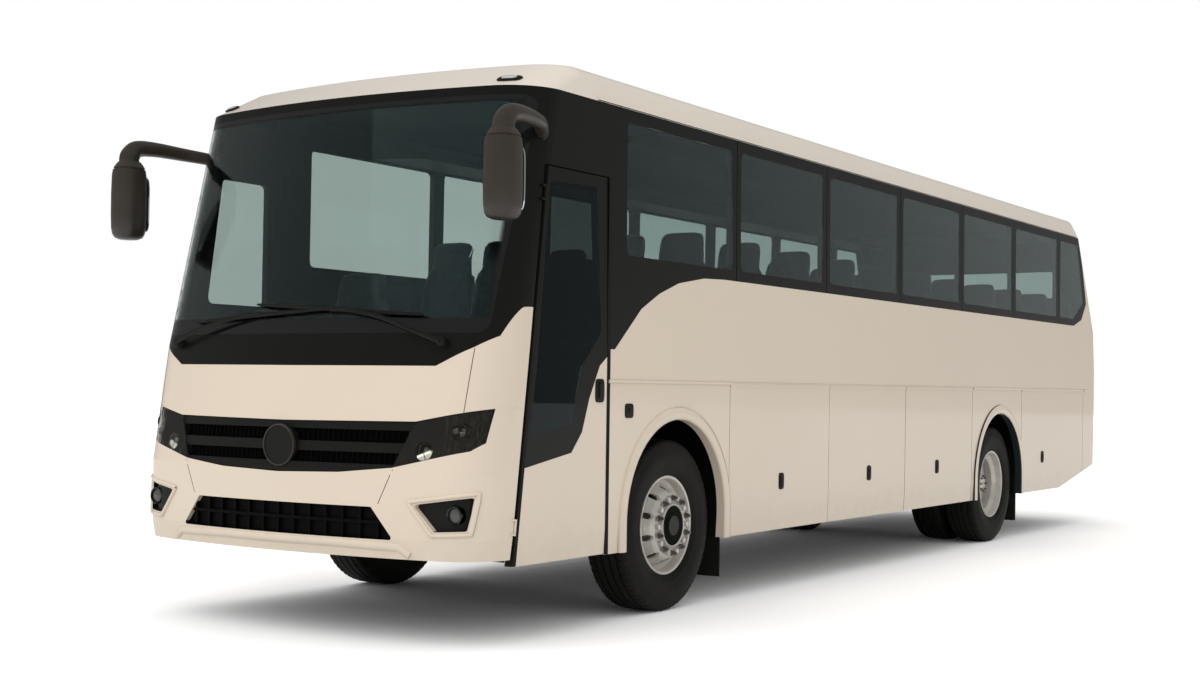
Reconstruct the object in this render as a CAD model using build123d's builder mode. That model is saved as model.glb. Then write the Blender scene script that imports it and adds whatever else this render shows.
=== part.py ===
"""Coach, 11.2 m, two axles, right-hand drive, with a single swing entrance door on its left side.

Millimetres. +Z is up and the ground is z = 0. The front faces -Y, and +X is the coach's left side.
The origin is on the ground under the middle of the coach.
"""

import os
from math import asin, cos, pi, radians, sin, sqrt

from build123d import *

# Driving sizes of the whole coach
overall_length = 11180
body_width = 2500
front_overhang = 2130
wheelbase = 5830
skirt_height = 410
rail_height = 2950
roof_height = 3120
wall = 50
seam = 0.4
panel_gap = 6

front_face_y = -overall_length / 2
front_axle_y = front_face_y + front_overhang
rear_axle_y = front_axle_y + wheelbase
rear_face_y = overall_length / 2
half_width = body_width / 2
far = 8000

# How the ends and sides lean in with height: (height, set back)
front_profile = [(380, 30), (560, 0), (900, 0), (1387, 80), (1560, 110), (rail_height, 445)]
rear_profile = [(380, 60), (560, 10), (900, 0), (1560, 5), (2000, 50), (rail_height, 600)]
width_profile = [(380, 8), (560, 0), (1560, 0), (rail_height, 12)]
front_bow, front_corner = 5000, 300
rear_bow, rear_corner = 8000, 200


def along(profile, height):
    """The profile's value at a height, by straight lines between its rows."""
    for (low_z, a), (high_z, b) in zip(profile, profile[1:]):
        if height <= high_z:
            return a + (b - a) * max(0, height - low_z) / (high_z - low_z)
    return profile[-1][1]


def end_arc(end_y, way, bow, corner, half):
    """Where an end's corner arc leaves the bow, its middle point and the y where it meets the side."""
    centre_x = half - corner
    bow_centre_y = end_y - way * bow
    corner_y = bow_centre_y + way * sqrt((bow - corner) ** 2 - centre_x**2)
    turn = asin(centre_x / (bow - corner))
    start = (bow * sin(turn), bow_centre_y + way * bow * cos(turn))
    middle_turn = (turn + pi / 2) / 2
    middle = (centre_x + corner * sin(middle_turn), corner_y + way * corner * cos(middle_turn))
    return start, middle, corner_y


def ring(half, front_y, rear_y, inset):
    """The coach's outline seen from above, drawn in the current line."""
    f_start, f_mid, f_y = end_arc(front_y, -1, front_bow - inset, front_corner - inset, half)
    r_start, r_mid, r_y = end_arc(rear_y, 1, rear_bow - inset, rear_corner - inset, half)
    ThreePointArc((-f_start[0], f_start[1]), (0, front_y), f_start)
    ThreePointArc(f_start, f_mid, (half, f_y))
    Line((half, f_y), (half, r_y))
    ThreePointArc((half, r_y), r_mid, r_start)
    ThreePointArc(r_start, (0, rear_y), (-r_start[0], r_start[1]))
    ThreePointArc((-r_start[0], r_start[1]), (-r_mid[0], r_mid[1]), (-half, r_y))
    Line((-half, r_y), (-half, f_y))
    ThreePointArc((-half, f_y), (-f_mid[0], f_mid[1]), (-f_start[0], f_start[1]))


ring_heights = sorted({row[0] for row in front_profile + rear_profile})


def hull(inset):
    """The closed body from under the skirts to the roof rail, shrunk by inset."""
    with BuildPart() as body:
        for height in ring_heights:
            with BuildSketch(Plane.XY.offset(height)):
                with BuildLine():
                    ring(
                        half_width - along(width_profile, height) - inset,
                        front_face_y + along(front_profile, height) + inset,
                        rear_face_y - along(rear_profile, height) - inset,
                        inset,
                    )
                make_face()
        loft(ruled=True)
    return body.part


def block(plane, points, depth, radius=0, shrink=0):
    """A straight-sided block: an outline on a plane, pushed both ways by depth."""
    with BuildPart() as made:
        with BuildSketch(plane) as outline:
            with BuildLine():
                Polyline(*points, close=True)
            make_face()
            if radius:
                fillet(outline.vertices(), radius)
            if shrink:
                offset(amount=-shrink, mode=Mode.REPLACE)
        extrude(amount=depth, both=True)
    return made.part


def front_cut(points, radius=0, shrink=0):
    """An outline seen from the front, as (x, z) points, pushed through the front half."""
    return block(Plane.XZ.offset(4500), points, 1400, radius, shrink)


def rear_cut(points, radius=0, shrink=0):
    return block(Plane.XZ.offset(-5000), points, 1000, radius, shrink)


def side_cut(points, side, radius=0, shrink=0, inner=1040, outer=1400):
    """An outline seen from the side, as (y, z) points, pushed through one side wall."""
    plane = Plane.YZ.offset(side * (inner + outer) / 2)
    return block(plane, points, (outer - inner) / 2, radius, shrink)


def length_cut(points):
    """An outline seen from the side, pushed right across the coach."""
    return block(Plane.YZ, points, 1600)


def box(low_corner, high_corner):
    """A plain block between two opposite corners."""
    with BuildPart() as made:
        with Locations(tuple((a + b) / 2 for a, b in zip(low_corner, high_corner))):
            Box(*(abs(b - a) for a, b in zip(low_corner, high_corner)))
    return made.part


def rod(start, end, radius):
    """A round bar between two points."""
    direction = Vector(*end) - Vector(*start)
    with BuildPart() as made:
        with BuildSketch(Plane(origin=start, z_dir=direction)):
            Circle(radius)
        extrude(amount=direction.length)
    return made.part


def common(first, *others):
    """What all the given solids share."""
    with BuildPart() as made:
        add(first)
        for other in others:
            add(other, mode=Mode.INTERSECT)
    return made.part


def less(first, *others):
    """The first solid with the others taken away."""
    with BuildPart() as made:
        add(first)
        for other in others:
            add(other, mode=Mode.SUBTRACT)
    return made.part


def both_sides(points):
    """A closed outline from its left half, listed from the middle out and back to the middle."""
    return points + [(-x, z) for x, z in reversed(points) if x != 0]


def flipped(points):
    return [(-x, z) for x, z in reversed(points)]


def from_axle(points):
    """(y behind the front axle, z) points, turned to the coach's own y."""
    return [(front_axle_y + y, z) for y, z in points]


outer_hull = hull(0)
inner_hull = hull(wall)
glass_hull = hull(10)
trim_hull = hull(30)
clear_hull = hull(-seam)
shell = less(outer_hull, inner_hull)
glass_skin = less(outer_hull, glass_hull)
mid_skin = less(glass_hull, trim_hull)
back_skin = less(trim_hull, inner_hull)

# Where the front, the sides and the rear meet, seen from the side
door_gap = 24
door_lean = 0.1334
front_line_y = front_axle_y - 1721
door_rear = -798
low, high = 300, 3400
rear_joint = [(8640, low), (8640, 2030), (8500, 2290), (8255, 2950), (8090, high)]


def front_line(height, back=0):
    """The y of the leaning joint behind the front's corners, at a height."""
    return front_line_y + door_lean * (height - skirt_height) + back


front_zone = length_cut([(front_line(low), low), (front_line(high), high), (-far, high), (-far, low)])
rear_zone = length_cut(from_axle(rear_joint) + [(far, high), (far, low)])
side_zone = length_cut(
    [(front_line(low, seam), low), (front_line(high, seam), high)]
    + [(y - seam, z) for y, z in reversed(from_axle(rear_joint))]
)
front_shell = common(shell, front_zone)
front_glass_skin = common(glass_skin, front_zone)
front_mid_skin = common(mid_skin, front_zone)
front_back_skin = common(back_skin, front_zone)
side_shell = common(shell, side_zone)
side_glass_skin = common(glass_skin, side_zone)
rear_shell = common(shell, rear_zone)

# The door's hinge line leans with the joint: sleeves on the door turn on pins that stand on the front
hinge_x = half_width
hinge_heights = [620, 2380]
sleeve_radius, pin_radius, pin_bore = 9, 5, 5.4
sleeve_length, lug_length = 60, 12


def hinge_at(height, along_axis=0):
    """A plane square to the hinge line, its y pointing rearwards into the door."""
    origin = (hinge_x, front_line(height, door_gap / 2), height)
    return Plane(origin=origin, x_dir=(1, 0, 0), z_dir=(0, door_lean, 1)).offset(along_axis)


def hinge_pin(height):
    """Two lugs that reach back from the front's edge, and the pin between them."""
    reach = sleeve_length / 2 + 1
    with BuildPart() as made:
        for way in (1, -1):
            with BuildSketch(hinge_at(height, way * reach)):
                with Locations((-8, -13)):
                    Rectangle(28, 38)
            extrude(amount=way * lug_length)
        with BuildSketch(hinge_at(height)):
            Circle(pin_radius)
        extrude(amount=reach + lug_length, both=True)
    return made.part


def hinge_sleeve(height):
    """The sleeve on the door's edge, with its web."""
    with BuildPart() as made:
        with BuildSketch(hinge_at(height)):
            Circle(sleeve_radius)
            with Locations((-4, 15)):
                Rectangle(10, 30)
            Circle(pin_bore, mode=Mode.SUBTRACT)
        extrude(amount=sleeve_length / 2, both=True)
    return made.part


# Lines of the front, as (x, z)
bumper_bottom = 455
cream_top = [(0, 1450), (930, 1452), (1120, 1552), (1205, 1612), (1244, 1765), (1400, 1932)]
lamp_outline = [(746, 924), (1150, 1018), (1200, 1060), (1216, 1236), (851, 1164)]
grille_outline = [(-746, 924), (-420, 892), (0, 880), (420, 892), (746, 924)]
grille_outline = grille_outline + [(851, 1164), (0, 1156), (-851, 1164)]
intake_outline = [(762, 552), (625, 719), (-625, 719), (-762, 552)]
fog_outline = [(873, 738), (1180, 784), (1150, 612), (994, 604)]
windscreen_outline = [(-1165, 1622), (1165, 1622), (1206, 2900), (-1206, 2900)]
bumper_top = [(0, 1030), (800, 1030), (1216, 1240), (1400, 1240)]

# The bumper with its air intake and the pockets of the fog lamps
with BuildPart() as front_bumper:
    add(front_shell)
    add(front_cut(both_sides(bumper_top + [(1400, bumper_bottom)])), mode=Mode.INTERSECT)
    add(front_cut(grille_outline), mode=Mode.SUBTRACT)
    for outline in (lamp_outline, flipped(lamp_outline)):
        add(front_cut(outline), mode=Mode.SUBTRACT)
    for outline in (intake_outline, fog_outline, flipped(fog_outline)):
        add(front_cut(outline, 12), mode=Mode.SUBTRACT)
    add(hinge_pin(hinge_heights[0]))
front_bumper.part.label = "front_bumper"

# The cream panel between the grille and the windscreen's cowl
panel_top = [(x, z - seam) for x, z in cream_top]
panel_low = [(x, z + seam) for x, z in bumper_top]
with BuildPart() as front_panel:
    add(front_shell)
    add(front_cut(both_sides(panel_top + list(reversed(panel_low)))), mode=Mode.INTERSECT)
    add(front_cut(grille_outline), mode=Mode.SUBTRACT)
    for outline in (lamp_outline, flipped(lamp_outline)):
        add(front_cut(outline), mode=Mode.SUBTRACT)
front_panel.part.label = "front_panel"

# The black cowl, pillars and header round the windscreen
with BuildPart() as windscreen_surround:
    add(front_shell)
    add(front_cut(both_sides(cream_top + [(1400, rail_height)])), mode=Mode.INTERSECT)
    add(front_cut(windscreen_outline, 60), mode=Mode.SUBTRACT)
    add(hinge_pin(hinge_heights[1]))
windscreen_surround.part.label = "windscreen_surround"

with BuildPart() as windscreen:
    add(front_glass_skin)
    add(front_cut(windscreen_outline, 60, seam), mode=Mode.INTERSECT)
windscreen.part.label = "windscreen"

# The grille: a dark tray behind three bars, with a plain disc in the middle
badge_height, badge_radius = 1022, 112
grille_bars = [(1136, 42), (1024, 52), (912, 52)]
with BuildPart() as bar_stock:
    with BuildSketch(Plane.XZ.offset(4500)):
        for bar_z, bar_height in grille_bars:
            with Locations((0, bar_z)):
                Rectangle(2400, bar_height)
    extrude(amount=1400, both=True)
with BuildPart() as grille:
    grille_block = front_cut(grille_outline, 0, seam)
    add(common(front_back_skin, grille_block))
    add(common(front_mid_skin, grille_block, bar_stock.part))
    with BuildSketch(Plane.XZ.offset(-front_face_y - 12)):
        with Locations((0, badge_height)):
            Circle(badge_radius)
    extrude(amount=-48)
grille.part.label = "grille"

# The lower air intake: upright ribs before a dark tray
rib_pitch, rib_count = 110, 13
with BuildPart() as rib_stock:
    with BuildSketch(Plane.XZ.offset(4500)):
        with Locations((0, 636)):
            with GridLocations(rib_pitch, 1, rib_count, 1):
                Rectangle(14, 300)
        with Locations((0, 640)):
            Rectangle(2000, 16)
    extrude(amount=1400, both=True)
with BuildPart() as lower_intake:
    intake_block = front_cut(intake_outline, 12, seam)
    add(common(front_back_skin, intake_block))
    add(common(front_mid_skin, intake_block, rib_stock.part))
lower_intake.part.label = "lower_intake"

# Headlamps: a bucket with two bowls behind a clear cover, one on each side
bowls = [(912, 1012, 50), (1098, 1118, 44)]
with BuildPart() as headlamp_buckets:
    for outline in (lamp_outline, flipped(lamp_outline)):
        add(common(front_mid_skin, front_cut(outline, 0, seam)))
        add(common(front_back_skin, front_cut(outline, 0, seam)))
    for side in (1, -1):
        for x, z, radius in bowls:
            with Locations((side * x, front_face_y + 18 + x * x / 8600, z)):
                Sphere(radius, mode=Mode.SUBTRACT)
headlamp_buckets.part.label = "headlamp_buckets"

with BuildPart() as headlamp_lenses:
    for outline in (lamp_outline, flipped(lamp_outline)):
        add(common(front_glass_skin, front_cut(outline, 0, seam)))
headlamp_lenses.part.label = "headlamp_lenses"

# Fog lamps: a black pocket with a round lamp in it
fog_x, fog_z, fog_radius = 1088, 690, 38
with BuildPart() as fog_lamps:
    for outline in (fog_outline, flipped(fog_outline)):
        add(common(front_back_skin, front_cut(outline, 12, seam)))
    for side in (1, -1):
        add(rod((side * fog_x, front_axle_y - 1960, fog_z), (side * fog_x, front_axle_y - 1900, fog_z), fog_radius))
fog_lamps.part.label = "fog_lamps"

# Lines of the sides, as (y behind the front axle, z)
crease_height = 1387
flap_top = 1371
window_bottom, window_top = 2112, 2876
band_bottom = 2045
joint_pitch, first_joint, joint_count = 1364, 728, 6
flap_joints = [652, 2160, 3590, 5109]
rear_flap = (6431, 8420)
arch_radius, arch_centre_height = 590, 575
lip_width, lip_stand = 72, 9
tail_low, tail_high = (7640, skirt_height), (9100, 660)
swoop = [(-733, 1569), (-445, 1812), (-242, 1911), (-14, 1987), (300, 2036), (560, band_bottom)]
band_line = swoop + [(8060, band_bottom), (8330, 2115), (8500, 2290)]
right_sill = [(-1900, 1770), (-1560, 1660), (-1300, 1590), (-1000, 1556)]

# The waist rail: a C along each side that holds the flaps' beads
rail_bore, rail_radius, bead_radius = 6.3, 10, 6
rail_x, rail_z = half_width + 1, crease_height
rail_rear = 8560
mouth = [(0, 0), (-25.2, -31.1), (40, -31.1), (40, 21.3)]


def arch_block(axle_y, radius, x_from, x_to):
    """The wheel arch: a half circle on two legs that run below the skirt, pushed along X."""
    with BuildPart() as made:
        with BuildSketch(Plane.YZ.offset(x_from)):
            with BuildLine():
                Line((axle_y - radius, low), (axle_y - radius, arch_centre_height))
                ThreePointArc(
                    (axle_y - radius, arch_centre_height),
                    (axle_y, arch_centre_height + radius),
                    (axle_y + radius, arch_centre_height),
                )
                Line((axle_y + radius, arch_centre_height), (axle_y + radius, low))
                Line((axle_y + radius, low), (axle_y - radius, low))
            make_face()
        extrude(amount=x_to - x_from)
    return made.part


def rail_bar(points, side, start, end):
    """An outline round the rail's axis, run along the side between two places behind the front axle."""
    with BuildPart() as bar:
        with BuildSketch(Plane.XZ.offset(-(front_axle_y + start))):
            with BuildLine():
                Polyline(*[(side * (rail_x + x), rail_z + z) for x, z in points], close=True)
            make_face()
        extrude(amount=-(end - start))
    return bar.part


def rail_rod(radius, side, start, end):
    x = side * rail_x
    return rod((x, front_axle_y + start, rail_z), (x, front_axle_y + end, rail_z), radius)


def side_wall(side, top_line, start, rail_front):
    """The cream side with its waist rail, arch lips and the holes for the flaps."""
    outline = [(start, skirt_height)] + top_line + [(9200, 2290), tail_high, tail_low]
    with BuildPart() as panel:
        add(common(side_shell, side_cut(from_axle(outline), side)))
        for axle_y in (front_axle_y, rear_axle_y):
            add(arch_block(axle_y, arch_radius + lip_width, side * (half_width - 5),
                           side * (half_width + lip_stand)))
        add(rail_rod(rail_radius, side, rail_front, rail_rear))
        add(rail_bar([(-30, -4), (-30, 10), (0, 10), (0, -4)], side, rail_front, rail_rear))
        add(box((-1500, -far, 200), (1500, far, skirt_height)), mode=Mode.SUBTRACT)
        for axle_y in (front_axle_y, rear_axle_y):
            add(arch_block(axle_y, arch_radius, side * 1000, side * 1400), mode=Mode.SUBTRACT)
        for start_y, end_y in ((flap_joints[0], flap_joints[-1]), rear_flap):
            hole = [(start_y, low), (end_y, low), (end_y, rail_z - 4), (start_y, rail_z - 4)]
            add(side_cut(from_axle(hole), side), mode=Mode.SUBTRACT)
            add(rail_bar(mouth, side, start_y, end_y), mode=Mode.SUBTRACT)
            add(rail_rod(rail_bore, side, start_y, end_y), mode=Mode.SUBTRACT)
    return panel.part


lowered_band_line = [(y, z - seam) for y, z in band_line]
with BuildPart() as side_panel_left:
    add(side_wall(1, [(door_rear, 1569 - seam)] + lowered_band_line, door_rear, door_rear + 2))
side_panel_left.part.label = "side_panel_left"
with BuildPart() as side_panel_right:
    add(side_wall(-1, right_sill + lowered_band_line, -1900, -1585))
side_panel_right.part.label = "side_panel_right"

# Luggage flaps and the rear service flaps, each with a bead in the waist rail
flap_names = ("luggage_flap_1", "luggage_flap_2", "luggage_flap_3", "service_flap")
flap_spans = list(zip(flap_joints, flap_joints[1:])) + [rear_flap]
tail_slope = (tail_high[1] - tail_low[1]) / (tail_high[0] - tail_low[0])
flaps = []
for side_name, side in (("left", 1), ("right", -1)):
    for name, (start_y, end_y) in zip(flap_names, flap_spans):
        begin = start_y + (panel_gap if start_y in (flap_joints[0], rear_flap[0]) else panel_gap / 2)
        end = end_y - (panel_gap if end_y in (flap_joints[-1], rear_flap[1]) else panel_gap / 2)
        outline = [(begin, skirt_height), (end, skirt_height), (end, flap_top), (begin, flap_top)]
        if end > tail_low[0]:
            outline[1:2] = [tail_low, (end, tail_low[1] + tail_slope * (end - tail_low[0]))]
        with BuildPart() as flap:
            add(common(side_shell, side_cut(from_axle(outline), side)))
            add(rail_bar([(-2.5, -22), (2.5, -22), (2.5, 0), (-2.5, 0)], side, begin, end))
            add(rail_rod(bead_radius, side, begin, end))
        flap.part.label = f"{name}_{side_name}"
        flaps.append(flap)


def joint_grooves(side):
    """Narrow grooves where one window pane meets the next."""
    with BuildPart() as grooves:
        for number in range(joint_count):
            y = front_axle_y + first_joint + number * joint_pitch
            add(box((side * (half_width - 15), y - 4, band_bottom - 5), (side * 1290, y + 4, rail_height + 5)))
    return grooves.part


def windows_from(first_y):
    """Clear openings from the first window back, the last one cut to the tail's slope."""
    pillar = 58
    rows = []
    start_y = first_y
    for number in range(joint_count):
        joint_y = first_joint + number * joint_pitch
        rows.append([(start_y, window_bottom), (joint_y - pillar, window_bottom),
                     (joint_y - pillar, window_top), (start_y, window_top)])
        start_y = joint_y + pillar
    rows.append([(start_y, window_bottom), (8040, window_bottom), (8395, 2300), (8190, window_top),
                 (start_y, window_top)])
    return [from_axle(row) for row in rows]


left_windows = windows_from(-610)
driver_window = from_axle([(-1500, 1830), (-1000, 1830), (-1000, 2600), (-1390, 2600)])
right_windows = windows_from(-610) + [driver_window]
door_top = 2530

# The black bands with their windows
with BuildPart() as window_band_left:
    head = [(door_rear, door_top + 8), (door_rear, 1569)] + band_line
    head = head + [(9200, 2290), (9200, rail_height), (-1900, rail_height), (-1900, door_top + 8)]
    add(common(side_shell, side_cut(from_axle(head), 1)))
    for outline in left_windows:
        add(side_cut(outline, 1, 38), mode=Mode.SUBTRACT)
    add(joint_grooves(1), mode=Mode.SUBTRACT)
window_band_left.part.label = "window_band_left"

with BuildPart() as window_band_right:
    head = [(y, z + seam) for y, z in right_sill] + band_line
    head = head + [(9200, 2290), (9200, rail_height), (-1900, rail_height)]
    add(common(side_shell, side_cut(from_axle(head), -1)))
    for outline in right_windows:
        add(side_cut(outline, -1, 38), mode=Mode.SUBTRACT)
    add(joint_grooves(-1), mode=Mode.SUBTRACT)
window_band_right.part.label = "window_band_right"

with BuildPart() as side_glass_left:
    for outline in left_windows:
        add(common(side_glass_skin, side_cut(outline, 1, 38, seam)))
side_glass_left.part.label = "side_glass_left"
with BuildPart() as side_glass_right:
    for outline in right_windows:
        add(common(side_glass_skin, side_cut(outline, -1, 38, seam)))
side_glass_right.part.label = "side_glass_right"

# The entrance door: a cream lower panel, a black upper frame and its glass
door_foot = skirt_height + 6
door_back_y = front_axle_y + door_rear - 14
door_outline = [(front_line(door_foot, door_gap), door_foot), (door_back_y, door_foot),
                (door_back_y, door_top), (front_line(door_top, door_gap), door_top)]
door_line = from_axle([(-2000, 921), (-1624, 921), (-1163, 994), (-1060, 1105), (-991, 1289),
                       (-888, 1473), (-760, 1560), (-600, 1600)])
door_glass_outline = from_axle([(-1387, 2449), (-929, 2470), (-877, 1657), (-1071, 1470),
                                (-1167, 1150), (-1561, 1091), (-1501, 1454)])
door_skin = common(shell, side_cut(door_outline, 1))

with BuildPart() as entrance_door:
    lower_part = door_line + [(door_line[-1][0], 300), (door_line[0][0], 300)]
    add(common(door_skin, side_cut(lower_part, 1)))
    add(hinge_sleeve(hinge_heights[0]))
entrance_door.part.label = "entrance_door"

with BuildPart() as door_frame:
    upper_part = [(y, z + seam) for y, z in door_line] + [(door_line[-1][0], 2700), (door_line[0][0], 2700)]
    add(common(door_skin, side_cut(upper_part, 1)))
    add(side_cut(door_glass_outline, 1, 30), mode=Mode.SUBTRACT)
    add(hinge_sleeve(hinge_heights[1]))
door_frame.part.label = "door_frame"

with BuildPart() as door_glass:
    add(common(glass_skin, side_cut(door_glass_outline, 1, 30, seam)))
door_glass.part.label = "door_glass"

# The roof: a front cap and the long roof behind it
roof_seam_y = front_axle_y - 930
roof_front_in, roof_rear_in, roof_side_in, roof_round = 780, 830, 40, 75
roof_rings = [(rail_height, 445, 600, 12), (roof_height, roof_front_in, roof_rear_in, roof_side_in)]


def roof_hull(inset):
    """The closed roof, its top edges rounded."""
    with BuildPart() as body:
        for height, front_back, rear_back, narrow in roof_rings:
            with BuildSketch(Plane.XY.offset(height)):
                with BuildLine():
                    ring(half_width - narrow - inset, front_face_y + front_back + inset,
                         rear_face_y - rear_back - inset, inset)
                make_face()
        loft(ruled=True)
        if inset:
            top = roof_height - inset
            add(box((-2000, -far, top), (2000, far, roof_height + 50)), mode=Mode.SUBTRACT)
        fillet(body.faces().sort_by(Axis.Z)[-1].edges(), roof_round - inset)
    return body.part


roof_shell = less(roof_hull(0), roof_hull(wall))
with BuildPart() as roof_front_cap:
    add(roof_shell)
    add(box((-2000, -far, 2900), (2000, roof_seam_y, 3400)), mode=Mode.INTERSECT)
roof_front_cap.part.label = "roof_front_cap"

# A drip rail runs along each edge of the roof, and two hatches lie on top
hatch_rows = [1900, 6400]
with BuildPart() as roof_panel:
    add(roof_shell)
    add(box((-2000, roof_seam_y + seam, 2900), (2000, far, 3400)), mode=Mode.INTERSECT)
    for side in (1, -1):
        add(box((side * 1210, roof_seam_y + seam, rail_height + 4),
                (side * (half_width + 2), front_axle_y + 8120, rail_height + 22)))
    for hatch_y in hatch_rows:
        with Locations((0, front_axle_y + hatch_y, roof_height + 12)):
            Box(760, 900, 36)
roof_panel.part.label = "roof_panel"

# The rear: bumper, wall with its openings, window and lamps
rear_bumper_top = 880
rear_window_outline = [(-940, 1820), (940, 1820), (890, 2640), (-890, 2640)]
hatch_outline = [(-700, 930), (700, 930), (700, 1557), (-700, 1557)]
tail_outline = [(900, 960), (1120, 960), (1120, 1500), (900, 1500)]
tail_cut = length_cut(from_axle([tail_low, (9800, tail_low[1] + tail_slope * (9800 - tail_low[0])),
                                 (9800, 200), (tail_low[0], 200)]))
with BuildPart() as rear_bumper:
    add(rear_shell)
    add(rear_cut([(-1400, low), (1400, low), (1400, rear_bumper_top - seam),
                  (-1400, rear_bumper_top - seam)]), mode=Mode.INTERSECT)
    add(tail_cut, mode=Mode.SUBTRACT)
rear_bumper.part.label = "rear_bumper"

# The engine hatch hangs on two pins outside its top edge
hatch_axis_y, hatch_axis_z, hatch_hinge_x = rear_face_y - 11, 1566, 600


def hatch_rod(radius, x_from, x_to):
    return rod((x_from, hatch_axis_y, hatch_axis_z), (x_to, hatch_axis_y, hatch_axis_z), radius)


with BuildPart() as rear_wall:
    add(rear_shell)
    add(rear_cut([(-1400, rear_bumper_top), (1400, rear_bumper_top), (1400, rail_height),
                  (-1400, rail_height)]), mode=Mode.INTERSECT)
    add(rear_cut(rear_window_outline, 60), mode=Mode.SUBTRACT)
    add(rear_cut(hatch_outline, 40), mode=Mode.SUBTRACT)
    for outline in (tail_outline, flipped(tail_outline)):
        add(rear_cut(outline, 25), mode=Mode.SUBTRACT)
    for side in (1, -1):
        x = side * hatch_hinge_x
        for start_x in (x - 33, x + 21):
            add(hatch_rod(10, start_x, start_x + 12))
            add(box((start_x, rear_face_y - 60, hatch_axis_z - 3), (start_x + 12, hatch_axis_y, hatch_axis_z + 6)))
        add(hatch_rod(5, x - 33, x + 33))
rear_wall.part.label = "rear_wall"
with BuildPart() as engine_hatch:
    add(rear_shell)
    hatch_leaf = [(-700, 930), (700, 930), (700, 1551), (-700, 1551)]
    add(rear_cut(hatch_leaf, 40, 6), mode=Mode.INTERSECT)
    for side in (1, -1):
        x = side * hatch_hinge_x
        add(hatch_rod(10, x - 20, x + 20))
        add(box((x - 20, rear_face_y - 50, 1530), (x + 20, hatch_axis_y + 5, 1545)))
        add(box((x - 20, hatch_axis_y - 6, 1531), (x + 20, hatch_axis_y + 4, hatch_axis_z)))
        add(hatch_rod(5.4, x - 30, x + 30), mode=Mode.SUBTRACT)
engine_hatch.part.label = "engine_hatch"
with BuildPart() as rear_glass:
    add(common(glass_skin, rear_zone, rear_cut(rear_window_outline, 60, seam)))
rear_glass.part.label = "rear_glass"
tail_skin = common(less(outer_hull, trim_hull), rear_zone)
with BuildPart() as tail_lamps:
    for outline in (tail_outline, flipped(tail_outline)):
        add(common(tail_skin, rear_cut(outline, 25, seam)))
tail_lamps.part.label = "tail_lamps"


def span(x_from, x_to, y_from, y_to, z_from, z_to):
    """A box with its y measured behind the front axle."""
    return box((x_from, front_axle_y + y_from, z_from), (x_to, front_axle_y + y_to, z_to))


# The frame under the floor: two rails with cross members between and outside them, lower at the front
floor_low, floor_top = 1200, 1225
frame_x, frame_top = 430, floor_low - seam
wide_rows = [700, 1430, 2160, 2875, 3590, 4360, 5130, 6530, 7300, 8100]
narrow_rows = [-590, 0, 5560, 6100]
platform_top = 955
with BuildPart() as chassis_frame:
    for side in (1, -1):
        add(span(side * (frame_x - 40), side * (frame_x + 40), -620, 8500, 1090, frame_top))
        add(span(side * 210, side * 290, -1960, -635 - seam, 820, platform_top - 25 - seam))
    inner_end, outer_end = frame_x - 40 - seam, frame_x + 40 + seam
    for row_y in wide_rows + narrow_rows:
        add(span(-inner_end, inner_end, row_y - 30, row_y + 30, 1120, frame_top))
    for row_y in wide_rows:
        for side in (1, -1):
            add(span(side * outer_end, side * 1130, row_y - 30, row_y + 30, 1120, frame_top))
    add(span(-470, 470, -635, -620 - seam, 820, frame_top))
    add(span(-210 + seam, 210 - seam, -1960, -1900, 820, 920))
chassis_frame.part.label = "chassis_frame"

bay_start, bay_end = 690, 5140
bay_floor_low, bay_floor_top, bay_top = 440, 465, 1120 - seam
with BuildPart() as luggage_bay:
    add(span(-1190, 1190, bay_start, bay_end, bay_floor_low, bay_floor_top))
    for wall_y in (bay_start, bay_end - 20):
        add(span(-1190, 1190, wall_y, wall_y + 20, bay_floor_low, bay_top))
    for side in (1, -1):
        for post_y in flap_joints[1:3]:
            add(span(side * 1070, side * 1130, post_y - 25, post_y + 25, bay_floor_low, bay_top))
        add(span(side * (frame_x - 40 - seam), side * (frame_x + 40 + seam), 600, 5200, 1090 - seam, 1130),
            mode=Mode.SUBTRACT)
luggage_bay.part.label = "luggage_bay"

# Boxes round the wheels, open below and outwards, with a slot for the axle
liner, liner_half = 15, 640
liner_rows = [(0, 590), (wheelbase, 520)]
with BuildPart() as arch_liners:
    for side in (1, -1):
        for y, inner_x in liner_rows:
            outside = span(side * inner_x, side * 1193, y - liner_half - liner, y + liner_half + liner,
                           skirt_height + 10, frame_top)
            inside = span(side * (inner_x + liner), side * 1300, y - liner_half, y + liner_half,
                          300, frame_top - liner)
            slot = span(side * (inner_x - 20), side * (inner_x + 40), y - 110, y + 200, 300, 640)
            add(less(outside, inside, slot))
arch_liners.part.label = "arch_liners"

with BuildPart() as mud_flaps:
    for side in (1, -1):
        for y in (0, wheelbase):
            start_y = y + liner_half + liner + 0.3
            add(span(side * 905, side * 1185, start_y, start_y + 10, 150, 480))
mud_flaps.part.label = "mud_flaps"

# The cabin floor, the driver's platform and the entrance steps
well_front, well_rear = -1600, -780
riser_y = -liner_half - liner - seam
board_low, board_end = platform_top - 25, riser_y - 20 - seam
tread_front, tread_rear = well_front + 20 + seam, well_rear - 20 - seam
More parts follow.
